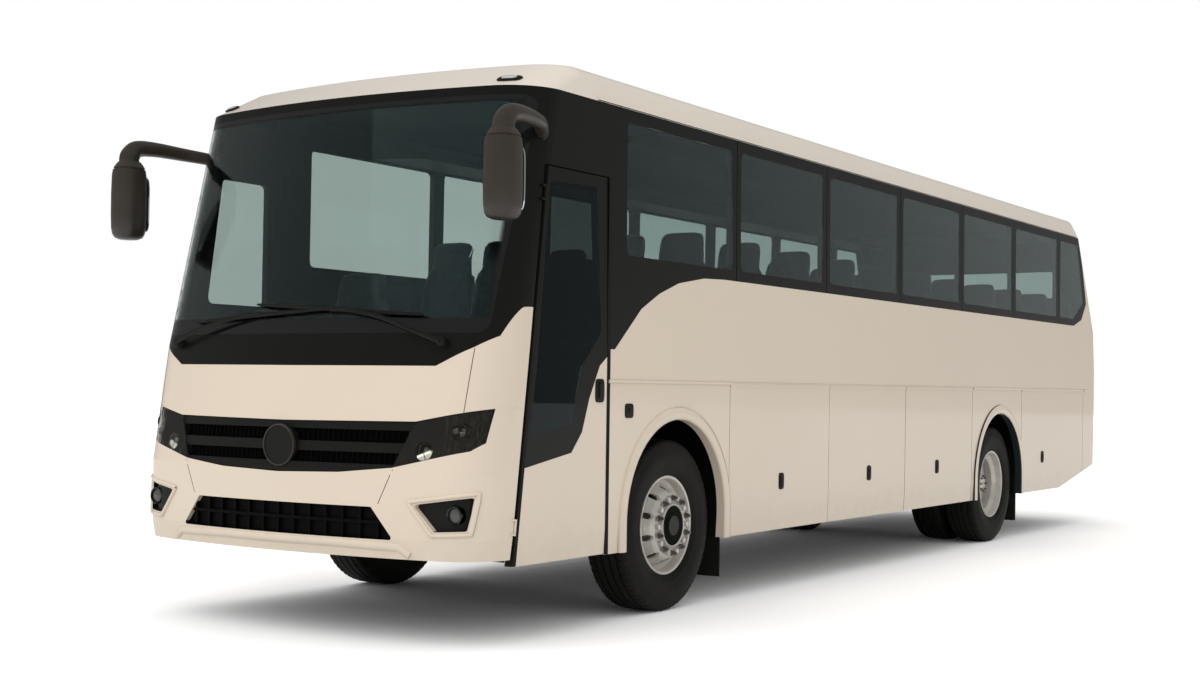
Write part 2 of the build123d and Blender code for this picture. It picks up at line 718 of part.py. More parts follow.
# Treads from the platform out to the door, as (inner x, outer x, top)
steps = [(330, 620, 955), (620, 900, 700), (900, 1190, 448)]
with BuildPart() as cabin_floor:
    add(span(-1190, 1190, riser_y - 20, 8700, floor_low, floor_top))
    add(span(-1190, 1190, riser_y - 20, riser_y, board_low, floor_low - seam))
    add(span(-1190, steps[0][0] - seam, -1560, board_end, board_low, platform_top))
    add(span(steps[0][0], 1190, well_rear + seam, board_end, board_low, platform_top))
    add(span(-300, 300, -900, board_end, platform_top + seam, 1090))
    for x_from, x_to, top in steps:
        add(span(x_from, x_to - seam, tread_front, tread_rear, top - 25, top))
    for (x_from, x_to, top), (next_from, next_to, next_top) in zip(steps, steps[1:]):
        add(span(x_to - 20 - seam, x_to - seam, tread_front, tread_rear, next_top - 25, top - 25 - seam))
    add(span(steps[0][0], 1190, well_rear - 20, well_rear, 423, platform_top))
    add(span(steps[0][0], 1190, well_front, well_front + 20, 423, 1180 - seam))
cabin_floor.part.label = "cabin_floor"

# Seats: a side outline pushed across for each double seat
seat_rows, seat_pitch, seat_start = 11, 790, 60
seat_profile = [(0, 0), (60, 0), (60, 300), (380, 300), (380, 0), (430, 0), (450, 400), (560, 1120),
                (480, 1140), (340, 460), (0, 440)]
with BuildPart() as passenger_seats:
    for side in (1, -1):
        for number in range(seat_rows):
            y = front_axle_y + seat_start + number * seat_pitch
            with BuildSketch(Plane.YZ.offset(side * 270)):
                with BuildLine():
                    Polyline(*[(y + a, floor_top + seam + b) for a, b in seat_profile], close=True)
                make_face()
            extrude(amount=side * 880)
passenger_seats.part.label = "passenger_seats"

driver_x = -620
driver_profile = [(0, 0), (80, 0), (80, 260), (340, 260), (340, 0), (420, 0), (470, 420), (600, 1080),
                  (520, 1100), (370, 470), (0, 440)]
with BuildPart() as driver_seat:
    with BuildSketch(Plane.YZ.offset(driver_x - 250)):
        with BuildLine():
            seat_y = front_axle_y - 1270
            Polyline(*[(seat_y + a, platform_top + seam + b) for a, b in driver_profile], close=True)
        make_face()
    extrude(amount=500)
driver_seat.part.label = "driver_seat"

rack_outline = [(1187.9, 2890), (1187.5, 2949), (1140, 3005), (1120, 2925), (760, 2900), (750, 2870)]
with BuildPart() as luggage_racks:
    for side in (1, -1):
        with BuildSketch(Plane.XZ.offset(-front_axle_y)):
            with BuildLine():
                Polyline(*[(side * x, z) for x, z in rack_outline], close=True)
            make_face()
        extrude(amount=-7900)
luggage_racks.part.label = "luggage_racks"

# The dashboard with the steering column on it
wheel_centre = (driver_x, front_axle_y - 1400, 1660)
column_tilt = 28
column_plane = Plane(origin=wheel_centre, x_dir=(1, 0, 0),
                     z_dir=(0, sin(radians(column_tilt)), cos(radians(column_tilt))))
dash_top = [(-1800, 1180), (-1800, 1575), (-1700, 1590), (-1600, 1560), (-1530, 1440), (-1500, 1300)]
dash_foot = [(-1520, 1180), (-1535, platform_top + seam), (-1560, platform_top + seam), (-1560, 1180)]
with BuildPart() as dashboard:
    for x_from, x_to, outline in ((-1090, 320, dash_top + dash_foot), (320, 1040, dash_top + [(-1540, 1180)])):
        with BuildSketch(Plane.YZ.offset(x_from)):
            with BuildLine():
                Polyline(*from_axle(outline), close=True)
            make_face()
        extrude(amount=x_to - x_from)
    with BuildSketch(column_plane.offset(-400)):
        Circle(45)
    extrude(amount=340)
    with BuildSketch(column_plane.offset(-60)):
        Circle(16)
    extrude(amount=47)
dashboard.part.label = "dashboard"

rim_radius = 225
with BuildPart() as steering_wheel:
    with BuildSketch(Plane(origin=wheel_centre, x_dir=(1, 0, 0), z_dir=column_plane.y_dir)):
        with Locations((rim_radius, 0)):
            Circle(14)
    revolve(axis=Axis(wheel_centre, column_plane.z_dir))
    with BuildSketch(column_plane.offset(-45)):
        Circle(48)
    extrude(amount=45)
    with BuildSketch(column_plane.offset(-22)):
        for turn in (0, 180, 270):
            with PolarLocations(rim_radius / 2, 1, start_angle=turn):
                Rectangle(rim_radius, 34)
    extrude(amount=14)
    with BuildSketch(column_plane.offset(-46)):
        Circle(16.4)
    extrude(amount=34, mode=Mode.SUBTRACT)
steering_wheel.part.label = "steering_wheel"

# Running gear
axle_height = 522
wheel_x, twin_x = 1050, 720
bolt_circle, bolt_count = 167.5, 10

# Half of the tyre's section beside its middle plane, as (sideways, radius)
tyre_section = [(102.6, 288.4), (102.6, 299.4), (120, 299.4), (147.5, 405), (128, 503), (100, 519)]
bead_x = tyre_section[0][0]
# The rim's closed section, as (sideways, radius)
rim_section = [(120, 298), (108, 298), (103, 288), (62, 284), (40, 252), (-30, 252), (-62, 284), (-103, 288),
               (-108, 298), (-120, 298), (-120, 284), (-72, 272), (-36, 238), (46, 238), (72, 272), (120, 284)]
front_disc = [(30, 240), (118, 202), (132, 190), (136, 180), (136, 60), (152, 60), (152, 184), (146, 196),
              (132, 210), (52, 244)]
front_hub = [(-20, 46), (-20, 110), (100, 110), (136, 104), (160, 100), (170, 84), (170, 46)]
outer_disc = [(-30, 240), (-60, 232), (-150, 205), (-165, 190), (-165, 60), (-150, 60), (-150, 190),
              (-140, 196), (-50, 222), (-20, 240)]
inner_disc = [(-165, 60), (-165, 198), (-180, 208), (-290, 240), (-320, 240), (-196, 200), (-181, 188),
              (-181, 60)]
rear_hub = [(-200, 46), (-200, 118), (-20, 118), (0, 104), (10, 60), (10, 46)]


def turned(section, x_middle):
    """A section, as (sideways, radius) points, turned about the X axis."""
    with BuildPart() as made:
        with BuildSketch(Plane.XY):
            with BuildLine():
                Polyline(*[(x_middle + x, r) for x, r in section], close=True)
            make_face()
        revolve(axis=Axis.X)
    return made.part


def tyre_at(x_middle):
    """A plain tyre round the X axis."""
    with BuildPart() as made:
        with BuildSketch(Plane.XY):
            with BuildLine():
                for way in (1, -1):
                    half = [(x_middle + way * x, r) for x, r in tyre_section]
                    Polyline(*half[:3])
                    ThreePointArc(*half[2:5])
                    Line(*half[4:6])
                ThreePointArc((x_middle - 100, 519), (x_middle, axle_height), (x_middle + 100, 519))
                Line((x_middle - bead_x, 288.4), (x_middle + bead_x, 288.4))
            make_face()
        revolve(axis=Axis.X)
    return made.part


def hole_ring(x_from, x_to, circle, radius):
    """Round hand holes through the disc, halfway between the nuts."""
    with BuildPart() as holes:
        with BuildSketch(Plane.YZ.offset(x_from)):
            with PolarLocations(circle, bolt_count, start_angle=18):
                Circle(radius)
        extrude(amount=x_to - x_from)
    return holes.part


def wheel_body(rear):
    """A left wheel on the X axis, with its disc or discs, hand holes, hub and nuts."""
    with BuildPart() as made:
        add(turned(rim_section, wheel_x))
        for section in ((outer_disc, inner_disc, rear_hub) if rear else (front_disc, front_hub)):
            add(turned(section, wheel_x))
        if rear:
            add(turned([(-x, r) for x, r in reversed(rim_section)], twin_x))
        with BuildSketch(Plane.YZ.offset(wheel_x + (-151 if rear else 151))):
            with PolarLocations(bolt_circle, bolt_count):
                RegularPolygon(17, 6)
        extrude(amount=25)
        if rear:
            add(hole_ring(wheel_x - 145, wheel_x - 30, 208, 15), mode=Mode.SUBTRACT)
        else:
            add(hole_ring(wheel_x + 50, wheel_x + 160, 216, 20), mode=Mode.SUBTRACT)
    return made.part


wheels = []
for end_name, rear, axle_y in (("front", False, front_axle_y), ("rear", True, rear_axle_y)):
    left_wheel = wheel_body(rear)
    left_tyres = [tyre_at(wheel_x), tyre_at(twin_x)] if rear else [tyre_at(wheel_x)]
    for side_name, side in (("left", 1), ("right", -1)):
        with BuildPart() as wheel:
            with Locations((0, axle_y, axle_height)):
                add(left_wheel if side > 0 else mirror(left_wheel, about=Plane.YZ, mode=Mode.PRIVATE))
        wheel.part.label = f"wheel_{end_name}_{side_name}"
        with BuildPart() as tyres:
            with Locations((0, axle_y, axle_height)):
                for tyre in left_tyres:
                    add(tyre if side > 0 else mirror(tyre, about=Plane.YZ, mode=Mode.PRIVATE))
        tyres.part.label = f"tyres_{end_name}_{side_name}" if rear else f"tyre_{end_name}_{side_name}"
        wheels += [wheel, tyres]

# Front axle: a beam with a boss at each kingpin, on air springs under the frame
kingpin_x, boss_half, fork_half = 945, 50, 40
kingpin_radius, kingpin_bore = 24, 24.4
beam_outline = [(-905, 570), (-905, 474), (-700, 430), (700, 430), (905, 474), (905, 570), (680, 540), (-680, 540)]
with BuildPart() as front_axle:
    add(block(Plane.XZ.offset(-front_axle_y), beam_outline, 50))
    for side in (1, -1):
        with Locations((side * kingpin_x, front_axle_y, axle_height)):
            Cylinder(50, 2 * boss_half)
        add(rod((side * frame_x, front_axle_y, 530), (side * frame_x, front_axle_y, 1090 - seam), 95))
        with Locations((side * kingpin_x, front_axle_y, axle_height)):
            Cylinder(kingpin_bore, 4 * boss_half, mode=Mode.SUBTRACT)
front_axle.part.label = "front_axle"

arm_length, arm_height, spindle_end = 150, 395, 1222
knuckles = []
for side_name, side in (("left", 1), ("right", -1)):
    pin_x = side * kingpin_x
    with BuildPart() as knuckle:
        add(rod((pin_x, front_axle_y, axle_height - 90), (pin_x, front_axle_y, axle_height + 90), kingpin_radius))
        for way in (1, -1):
            middle = axle_height + way * (boss_half + 1 + fork_half / 2)
            with Locations((pin_x, front_axle_y, middle)):
                Cylinder(50, fork_half)
            add(span(pin_x, side * 1010, -45, 45, middle - fork_half / 2, middle + fork_half / 2))
        add(span(side * 1000, side * 1018, -60, 60, axle_height - 91, axle_height + 91))
        add(rod((side * 1000, front_axle_y, axle_height), (side * spindle_end, front_axle_y, axle_height), 45))
        add(rod((side * (spindle_end - 1), front_axle_y, axle_height),
                (side * (spindle_end + 7), front_axle_y, axle_height), 60))
        add(span(pin_x - 25, pin_x + 25, -40, arm_length, arm_height - 12, arm_height + 12))
        add(span(pin_x - 25, pin_x + 25, -40, 40, arm_height - 12, axle_height - boss_half - 20))
        with Locations((pin_x, front_axle_y + arm_length, arm_height)):
            Cylinder(28, 24)
        with Locations((pin_x, front_axle_y + arm_length, arm_height + 20)):
            Cylinder(12, 60)
    knuckle.part.label = f"knuckle_{side_name}"
    knuckles.append(knuckle)

# The tie rod lies over the two steering arms, on their pins
rod_height = arm_height + 30
with BuildPart() as tie_rod:
    for side in (1, -1):
        with Locations((side * kingpin_x, front_axle_y + arm_length, rod_height)):
            Cylinder(26, 28)
    add(rod((-kingpin_x + 15, front_axle_y + arm_length, rod_height),
            (kingpin_x - 15, front_axle_y + arm_length, rod_height), 13))
    for side in (1, -1):
        with Locations((side * kingpin_x, front_axle_y + arm_length, rod_height)):
            Cylinder(12.4, 60, mode=Mode.SUBTRACT)
tie_rod.part.label = "tie_rod"

# Rear axle: a tube with its final drive, on four air springs
shaft_rise = 0.07


def shaft_point(distance):
    """A point on the propeller shaft's axis, behind the final drive's middle."""
    return (0, rear_axle_y + distance, axle_height + shaft_rise * distance)


with BuildPart() as rear_axle:
    for half, radius in ((1062, 45), (830, 70), (500, 88)):
        add(rod((-half, rear_axle_y, axle_height), (half, rear_axle_y, axle_height), radius))
    for side in (1, -1):
        add(rod((side * 1061, rear_axle_y, axle_height), (side * 1069, rear_axle_y, axle_height), 60))
        add(span(side * 350, side * 450, wheelbase - 420, wheelbase + 420, axle_height - 40, axle_height + 40))
        for way in (1, -1):
            spring_y = rear_axle_y + way * 340
            add(rod((side * 400, spring_y, axle_height + 30), (side * 400, spring_y, 1090 - seam), 88))
    with Locations((0, rear_axle_y, axle_height)):
        Sphere(190)
    add(rod(shaft_point(0), shaft_point(250), 60))
rear_axle.part.label = "rear_axle"

with BuildPart() as engine:
    add(span(-380, 380, 7250, 8750, 660, 1089.6))
    add(span(-60, 60, 7000, 7300, 560, 700))
    add(rod(shaft_point(250 + seam), shaft_point(1250), 40))
    for side in (1, -1):
        for foot_y in (7300, 8380):
            add(span(side * 370, side * 430, foot_y, foot_y + 100, 900, 1090 - seam))
engine.part.label = "engine"

# Mirrors: a bent arm from each pillar with a deep drooping head
mirror_x, mirror_y = 1362, front_axle_y - 1980
arm_root = (1205, front_axle_y - 1430, 2702)
with BuildPart() as mirrors:
    for side in (1, -1):
        with BuildPart() as one:
            add(rod(arm_root, (1330, front_axle_y - 1600, 2722), 24))
            with Locations((1330, front_axle_y - 1600, 2722)):
                Sphere(24)
            add(rod((1330, front_axle_y - 1600, 2722), (mirror_x, mirror_y, 2722), 24))
            with Locations((mirror_x, mirror_y, 2722)):
                Sphere(24)
            add(rod((mirror_x, mirror_y, 2722), (mirror_x, mirror_y, 2600), 24))
            with Locations((mirror_x, mirror_y, 2425)):
                Box(180, 190, 490)
            fillet(one.edges().filter_by(Axis.Z).group_by(SortBy.LENGTH)[-1], 70)
            add(clear_hull, mode=Mode.SUBTRACT)
        add(one.part if side > 0 else mirror(one.part, about=Plane.YZ, mode=Mode.PRIVATE))
mirrors.part.label = "mirrors"


def on_screen(x, z, out):
    """A point at a distance in front of the windscreen."""
    return (x, front_face_y + along(front_profile, z) + x * x / (2 * front_bow) - out, z)


# Wipers, as (pivot x, arm end x, arm end z, blade from x, z, to x, z)
wiper_rows = [(960, 400, 1735, 660, 1700, -420, 1768), (-960, -330, 1715, -700, 1680, 330, 1742)]
pivot_height = 1568
with BuildPart() as wipers:
    for pivot_x, end_x, end_z, x_1, z_1, x_2, z_2 in wiper_rows:
        add(rod(on_screen(pivot_x, pivot_height, -20), on_screen(pivot_x, pivot_height, 45), 22))
        add(rod(on_screen(pivot_x, pivot_height, 35), on_screen(end_x, end_z, 35), 9))
        middle_x, middle_z = (x_1 + x_2) / 2, (z_1 + z_2) / 2
        add(rod(on_screen(end_x, end_z, 38), on_screen(middle_x, middle_z, 30), 8))
        add(rod(on_screen(x_1, z_1, 14), on_screen(middle_x, middle_z, 14), 10))
        add(rod(on_screen(middle_x, middle_z, 14), on_screen(x_2, z_2, 14), 10))
        with Locations(on_screen(middle_x, middle_z, 22)):
            Box(60, 24, 24)
    add(clear_hull, mode=Mode.SUBTRACT)
wipers.part.label = "wipers"

os.makedirs("parts", exist_ok=True)
pieces = [
    front_bumper, front_panel, windscreen_surround, windscreen, grille, lower_intake, headlamp_buckets,
    headlamp_lenses, fog_lamps, side_panel_left, side_panel_right, window_band_left, window_band_right,
    side_glass_left, side_glass_right, entrance_door, door_frame, door_glass, roof_front_cap, roof_panel,
    rear_bumper, rear_wall, rear_glass, tail_lamps, engine_hatch, chassis_frame, luggage_bay, arch_liners,
    cabin_floor, passenger_seats, driver_seat, luggage_racks, dashboard, steering_wheel, front_axle, tie_rod,
    rear_axle, engine, mud_flaps, mirrors, wipers,
]
for piece in pieces + flaps + wheels + knuckles:
    print(piece.part.label, len(piece.part.solids()), piece.part.is_valid, round(piece.part.volume / 1e9, 4))
    export_step(piece.part, f"parts/{piece.part.label}.step")
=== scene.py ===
# %% [markdown]
# A touring coach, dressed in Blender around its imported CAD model. The CAD gives every panel, hinge and
# wheel in its real place. This file adds what the eye expects on top: paint, tinted glass, lamps, tyre
# tread, wheel nuts, seats, mirrors and handles. Everything is in metres, Z up, the front faces -Y and +X is
# the coach's own left, where the entrance door is.

import fnmatch
from math import asin, ceil, copysign, cos, hypot, pi, radians, sin, sqrt

import bmesh
import bpy
from mathutils import Matrix, Vector


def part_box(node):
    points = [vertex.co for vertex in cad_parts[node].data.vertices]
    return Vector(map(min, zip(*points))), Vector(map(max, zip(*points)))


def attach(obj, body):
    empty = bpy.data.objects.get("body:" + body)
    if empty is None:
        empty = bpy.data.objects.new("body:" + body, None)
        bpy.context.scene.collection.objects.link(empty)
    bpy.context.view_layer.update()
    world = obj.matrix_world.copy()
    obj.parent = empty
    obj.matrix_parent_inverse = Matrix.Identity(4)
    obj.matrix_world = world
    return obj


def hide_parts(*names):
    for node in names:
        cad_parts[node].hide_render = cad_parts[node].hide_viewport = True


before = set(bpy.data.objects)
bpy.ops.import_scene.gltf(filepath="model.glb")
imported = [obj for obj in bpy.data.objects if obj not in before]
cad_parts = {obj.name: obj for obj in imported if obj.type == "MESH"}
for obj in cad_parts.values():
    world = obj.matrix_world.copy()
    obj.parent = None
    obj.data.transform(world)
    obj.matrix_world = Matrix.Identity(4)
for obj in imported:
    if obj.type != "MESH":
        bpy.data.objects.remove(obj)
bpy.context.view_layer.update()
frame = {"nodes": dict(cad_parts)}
nodes = frame["nodes"]
sides = (("left", 1), ("right", -1))

# %% [markdown]
# The camera stands where the photographer stood, near the coach's front left corner at head height. It was
# solved from the tyres, the window line and the skirts. The small shift is the photograph's own, because
# its middle isn't on the camera's axis.

# %% Camera
camera_place = Vector((6.1608, -11.9902, 1.358))
camera_yaw, camera_pitch, camera_roll = radians(32.711), radians(0.0475), radians(0.8037)
ahead = Vector((-sin(camera_yaw) * cos(camera_pitch), cos(camera_yaw) * cos(camera_pitch), sin(camera_pitch)))
level = Vector((cos(camera_yaw), sin(camera_yaw), 0))
upward = level.cross(ahead)
right = level * cos(camera_roll) + upward * sin(camera_roll)
top = upward * cos(camera_roll) - level * sin(camera_roll)

lens = bpy.data.cameras.new("photo_camera")
lens.lens, lens.sensor_width, lens.shift_y = 48.78, 36, 0.0292
camera = bpy.data.objects.new("photo_camera", lens)
camera.matrix_world = Matrix((right, top, -ahead)).transposed().to_4x4()
camera.location = camera_place
bpy.context.scene.collection.objects.link(camera)
bpy.context.scene.camera = camera
bpy.context.scene.view_settings.view_transform = "Standard"

# %% [markdown]
# Colours are written as sRGB hex, as a paint card gives them, but Blender's shaders work in linear light.
# The first function turns the one into the other. add_node adds any node to a tree, and the short functions
# after it make the nodes that nearly every material needs.

# %% Colour and node helpers
def linear(code):
    channels = [int(code[i:i + 2], 16) / 255 for i in (1, 3, 5)]
    return tuple(c / 12.92 if c <= 0.04045 else ((c + 0.055) / 1.055) ** 2.4 for c in channels) + (1.0,)


def add_node(tree, kind, inputs=None, **settings):
    """Adds one node; inputs are values, or (node, output) pairs to link."""
    node = tree.nodes.new(kind)
    for name, value in settings.items():
        setattr(node, name, value)
    for name, value in (inputs or {}).items():
        if isinstance(value, tuple) and isinstance(value[0], bpy.types.Node):
            tree.links.new(value[0].outputs[value[1]], node.inputs[name])
        else:
            node.inputs[name].default_value = value
    return node


def noise(tree, where, scale, detail):
    return add_node(tree, "ShaderNodeTexNoise", {"Vector": (where, "Object"), "Scale": scale, "Detail": detail})


def spread(tree, source, to_min, to_max, from_min=0.0, from_max=1.0):
    """Carries a value from one range over to another."""
    return add_node(tree, "ShaderNodeMapRange", {
        "Value": source, "From Min": from_min, "From Max": from_max, "To Min": to_min, "To Max": to_max})


def combine(tree, operation, first, second):
    return add_node(tree, "ShaderNodeMath", {0: first, 1: second}, operation=operation)


def blend(tree, part, first, second, **settings):
    """Mixes two colours; the part of the second one is 0 to 1."""
    return add_node(tree, "ShaderNodeMix", {0: part, 6: first, 7: second}, data_type="RGBA", **settings)


def bump(tree, height, strength, distance):
    return add_node(tree, "ShaderNodeBump", {"Height": height, "Strength": strength, "Distance": distance})


def height_of(tree, where):
    return add_node(tree, "ShaderNodeSeparateXYZ", {0: (where, "Object")})


def new_material(name):
    """An empty material, its tree and a node that gives the object's own coordinates."""
    made = bpy.data.materials.new(name)
    made.use_nodes = True
    made.node_tree.nodes.clear()
    return made, made.node_tree, add_node(made.node_tree, "ShaderNodeTexCoord")


def end_material(made, shader, output="BSDF"):
    add_node(made.node_tree, "ShaderNodeOutputMaterial", {"Surface": (shader, output)})
    return made


def principled(made, inputs):
    """Ends a material with one Principled shader."""
    return end_material(made, add_node(made.node_tree, "ShaderNodeBsdfPrincipled", inputs))


# %% [markdown]
# The stage is a pale floor under an even white sky, with one broad soft lamp high in front. The world is
# white to the camera, dimmer as a light so that the cream paint doesn't clip, and dimmer still in
# reflections, as the street round the real coach is. The floor keeps the coach's soft shadow.

# %% Floor and light
world = bpy.data.worlds.new("studio_sky")
world.use_nodes = True
bpy.context.scene.world = world
sky = world.node_tree
sky.nodes.clear()
sky_as_light, sky_in_reflections = 0.88, 0.28
ray = add_node(sky, "ShaderNodeLightPath")
seen = combine(sky, "MAXIMUM", (ray, "Is Camera Ray"), (ray, "Is Transmission Ray"))
unseen = spread(sky, (ray, "Is Glossy Ray"), sky_as_light, sky_in_reflections)
strength = combine(sky, "MAXIMUM", (seen, "Value"), (unseen, "Result"))
glow = add_node(sky, "ShaderNodeBackground", {"Color": (1, 1, 1, 1), "Strength": (strength, "Value")})
add_node(sky, "ShaderNodeOutputWorld", {"Surface": (glow, "Background")})

key = bpy.data.lights.new("key_lamp", "SUN")
key.energy, key.angle = 0.86, radians(60)
key_lamp = bpy.data.objects.new("key_lamp", key)
key_lamp.rotation_euler = Vector((0.12, 0.72, -0.80)).to_track_quat("-Z", "Y").to_euler()
# A sun this wide would stand in the windscreen as a pale patch with an edge, so mirrors don't see it.
key_lamp.visible_glossy = False
bpy.context.scene.collection.objects.link(key_lamp)

floor_paint, tree, where = new_material("studio_floor")
floor_ray = add_node(tree, "ShaderNodeLightPath")
floor_tone = blend(tree, (floor_ray, "Is Camera Ray"), linear("#E6E6E6"), (1.22, 1.22, 1.22, 1))
end_material(floor_paint, add_node(tree, "ShaderNodeBsdfDiffuse", {"Color": (floor_tone, 2)}))

mesh = bpy.data.meshes.new("studio_floor")
reach = 90
mesh.from_pydata([(-reach, -reach, 0), (reach, -reach, 0), (reach, reach, 0), (-reach, reach, 0)], [], [(0, 1, 2, 3)])
floor = bpy.data.objects.new("studio_floor", mesh)
mesh.materials.append(floor_paint)
bpy.context.scene.collection.objects.link(floor)

# %% [markdown]
# Body paint is a two-coat automotive enamel: a cream base under clear lacquer. The lacquer gives the sharp
# highlight, so the coat has low roughness over a duller base. A very fine waviness in the lacquer keeps
# wide panels from looking like plastic, and the lowest hand's breadth carries a trace of road dust. Where a
# shell's wall faces inwards, the same node shows the cabin lining instead, drawn near-black with a teal cast
# as painted shade of the dim cabin. The shader finds that side by comparing the surface's direction with
# its place round the cabin's middle.

# %% Painted shells with a lined inside
cabin_middle, roof_fittings_from = (0, 0, 1.7), 3.1
dust_from, dust_full = 0.75, 0.4


def inward_side(tree, where):
    """1 where the surface faces the cabin's middle, 0 where it faces out or stands on the roof."""
    outward = add_node(tree, "ShaderNodeVectorMath", {0: (where, "Object"), 1: cabin_middle}, operation="SUBTRACT")
    facing = add_node(tree, "ShaderNodeVectorMath", {0: (outward, "Vector"), 1: (where, "Normal")},
                      operation="DOT_PRODUCT")
    turned_in = combine(tree, "LESS_THAN", (facing, "Value"), 0.0)
    below_roof = combine(tree, "LESS_THAN", (height_of(tree, where), "Z"), roof_fittings_from)
    return combine(tree, "MULTIPLY", (turned_in, "Value"), (below_roof, "Value"))


def painted_shell(name, paint, inner_colour_and_shade, roughness=0.36, coat=0.6, dust=0.3, gloss=0.4):
    """Lacquered paint outside; moulded lining inside, drawn near-black as painted shade of the cabin."""
    made, tree, where = new_material(name)
    inside = inward_side(tree, where)
    tone = spread(tree, (noise(tree, where, 1.3, 3.0), "Fac"), 0.975, 1.025)
    clean = blend(tree, (tone, "Result"), (0, 0, 0, 1), linear(paint), clamp_factor=False)
    low_part = spread(tree, (height_of(tree, where), "Z"), 0.0, 1.0, dust_from, dust_full)
    dusty = combine(tree, "MULTIPLY", (low_part, "Result"), (noise(tree, where, 9.0, 6.0), "Fac"))
    dusty = combine(tree, "MULTIPLY", (dusty, "Value"), dust)
    with_dust = blend(tree, (dusty, "Value"), (clean, 2), linear("#A79B85"))
    # Inward faces take the near-black inner colour: the lining, drawn dark as painted shade of the dim cabin.
    colour = blend(tree, (inside, "Value"), (with_dust, 2), linear(inner_colour_and_shade))
    rough = spread(tree, (inside, "Value"), roughness, 0.75)
    coat_part = spread(tree, (inside, "Value"), coat, 0.0)
    wave = bump(tree, (noise(tree, where, 120.0, 2.0), "Fac"), 0.03, 0.002)
    return principled(made, {
        "Base Color": (colour, 2), "Roughness": (rough, "Result"), "Coat Weight": (coat_part, "Result"),
        "Coat Roughness": 0.06, "Normal": (wave, "Normal"), "IOR": 1.5, "Specular IOR Level": gloss})


# The lining's colour is near-black with a teal cast: painted shade of the dim cabin seen through the glass.
inner_wall_and_shade = "#152528"
body_enamel = painted_shell("cream_enamel", "#E2D3BF", inner_wall_and_shade)
roof_enamel = painted_shell("roof_enamel", "#E8DED0", inner_wall_and_shade, dust=0.0)

# %% [markdown]
# The black parts are of two kinds. The window bands and the pillars round the glass are lacquered black
# panels with a faint sheen. The grille, mirrors and handles are grained ABS, which is softer and slightly
# brown in daylight. Grain is a fine Voronoi bump, drawn about 3 mm wide so that it still shows.

# %% Black panels and moulded plastic
def moulded(name, colour, roughness, grain_mm=3.0, grain=0.25, coat=0.0, gloss=0.25):
    """Injection-moulded plastic with a spark-eroded grain."""
    made, tree, where = new_material(name)
    cells = add_node(tree, "ShaderNodeTexVoronoi", {"Vector": (where, "Object"), "Scale": 1000 / grain_mm})
    fade = noise(tree, where, 4.0, 4.0)
    shade = spread(tree, (fade, "Fac"), 0.85, 1.15)
    tone = blend(tree, (shade, "Result"), (0, 0, 0, 1), linear(colour), clamp_factor=False)
    polish = spread(tree, (fade, "Fac"), roughness - 0.06, roughness + 0.06)
    relief = bump(tree, (cells, "Distance"), grain, 0.0006)
    return principled(made, {
        "Base Color": (tone, 2), "Roughness": (polish, "Result"), "Normal": (relief, "Normal"),
        "Coat Weight": coat, "Coat Roughness": 0.05, "Specular IOR Level": gloss})


# Its inward faces show a near-black colour, painted shade of the dim cabin behind the glass.
band_black = painted_shell("band_black_lacquer", "#141512", "#202422", roughness=0.3, coat=0.08, dust=0.0,
                           gloss=0.15)
# Near-black ABS for the intake tray and the grille blades; on the front hubs the same black is painted shade of the
# hub's deep bore.
near_black_and_hub_shade = moulded("black_abs_and_hub_shade", "#080807", 0.6, gloss=0.08)
# A near-black sheet: painted shade for the deep gaps of the grille.
gap_shade_black = moulded("painted_gap_shade", "#040404", 0.8, gloss=0.02)
mirror_shell = moulded("mirror_abs", "#342D26", 0.34, grain=0.12, coat=0.1, gloss=0.5)
dark_abs = moulded("grained_abs", "#151512", 0.5)
cabin_plastic = moulded("cabin_moulding", "#1E2322", 0.6)
floor_vinyl = moulded("floor_vinyl", "#33383A", 0.5, grain_mm=8.0, grain=0.4)
seal_rubber = moulded("epdm_seal", "#151512", 0.7, grain_mm=2.0)

# %% [markdown]
# Window glass is toughened sheet with a grey-green body tint. One Principled shader with full transmission
# does it. The tint is light, because a ray meets it four times on its way through two panes. An IOR below
# real glass's keeps reflections as faint as in the photograph, and their tint is the blue-green of its sky.
# The windscreen has a black printed border on its inside edge, which hides the glue. It is drawn from the
# pane's own coordinates as an opaque part with a soft edge.

# %% Glass
sky_cast, warm_cast = (0.68, 1.0, 1.04, 1.0), (0.72, 0.68, 0.6, 1.0)


def tinted_pane(name, tint, border=None, reflection=sky_cast):
    """Body-tinted glass; border gives the clear part's lowest and highest z and its widest x."""
    made, tree, where = new_material(name)
    ripple = bump(tree, (noise(tree, where, 1.6, 1.0), "Fac"), 0.02, 0.01)
    glass = add_node(tree, "ShaderNodeBsdfPrincipled", {
        "Base Color": linear(tint), "Roughness": 0.01, "IOR": 1.28, "Transmission Weight": 1.0,
        "Specular Tint": reflection, "Normal": (ripple, "Normal")})
    if not border:
        return end_material(made, glass)
    lowest, highest, widest = border
    split = height_of(tree, where)
    aside = add_node(tree, "ShaderNodeMath", {0: (split, "X")}, operation="ABSOLUTE")
    below = spread(tree, (split, "Z"), 0.0, 1.0, lowest + 0.012, lowest - 0.012)
    above = spread(tree, (split, "Z"), 0.0, 1.0, highest - 0.007, highest + 0.007)
    beside = spread(tree, (aside, "Value"), 0.0, 1.0, widest - 0.01, widest + 0.012)
    frit = combine(tree, "MAXIMUM", (below, "Result"), (beside, "Result"))
    frit = combine(tree, "MAXIMUM", (frit, "Value"), (above, "Result"))
    ink = add_node(tree, "ShaderNodeBsdfPrincipled", {"Base Color": linear("#121412"), "Roughness": 0.08})
    printed = add_node(tree, "ShaderNodeMixShader", {0: (frit, "Value"), 1: (glass, 0), 2: (ink, 0)})
    return end_material(made, printed, "Shader")


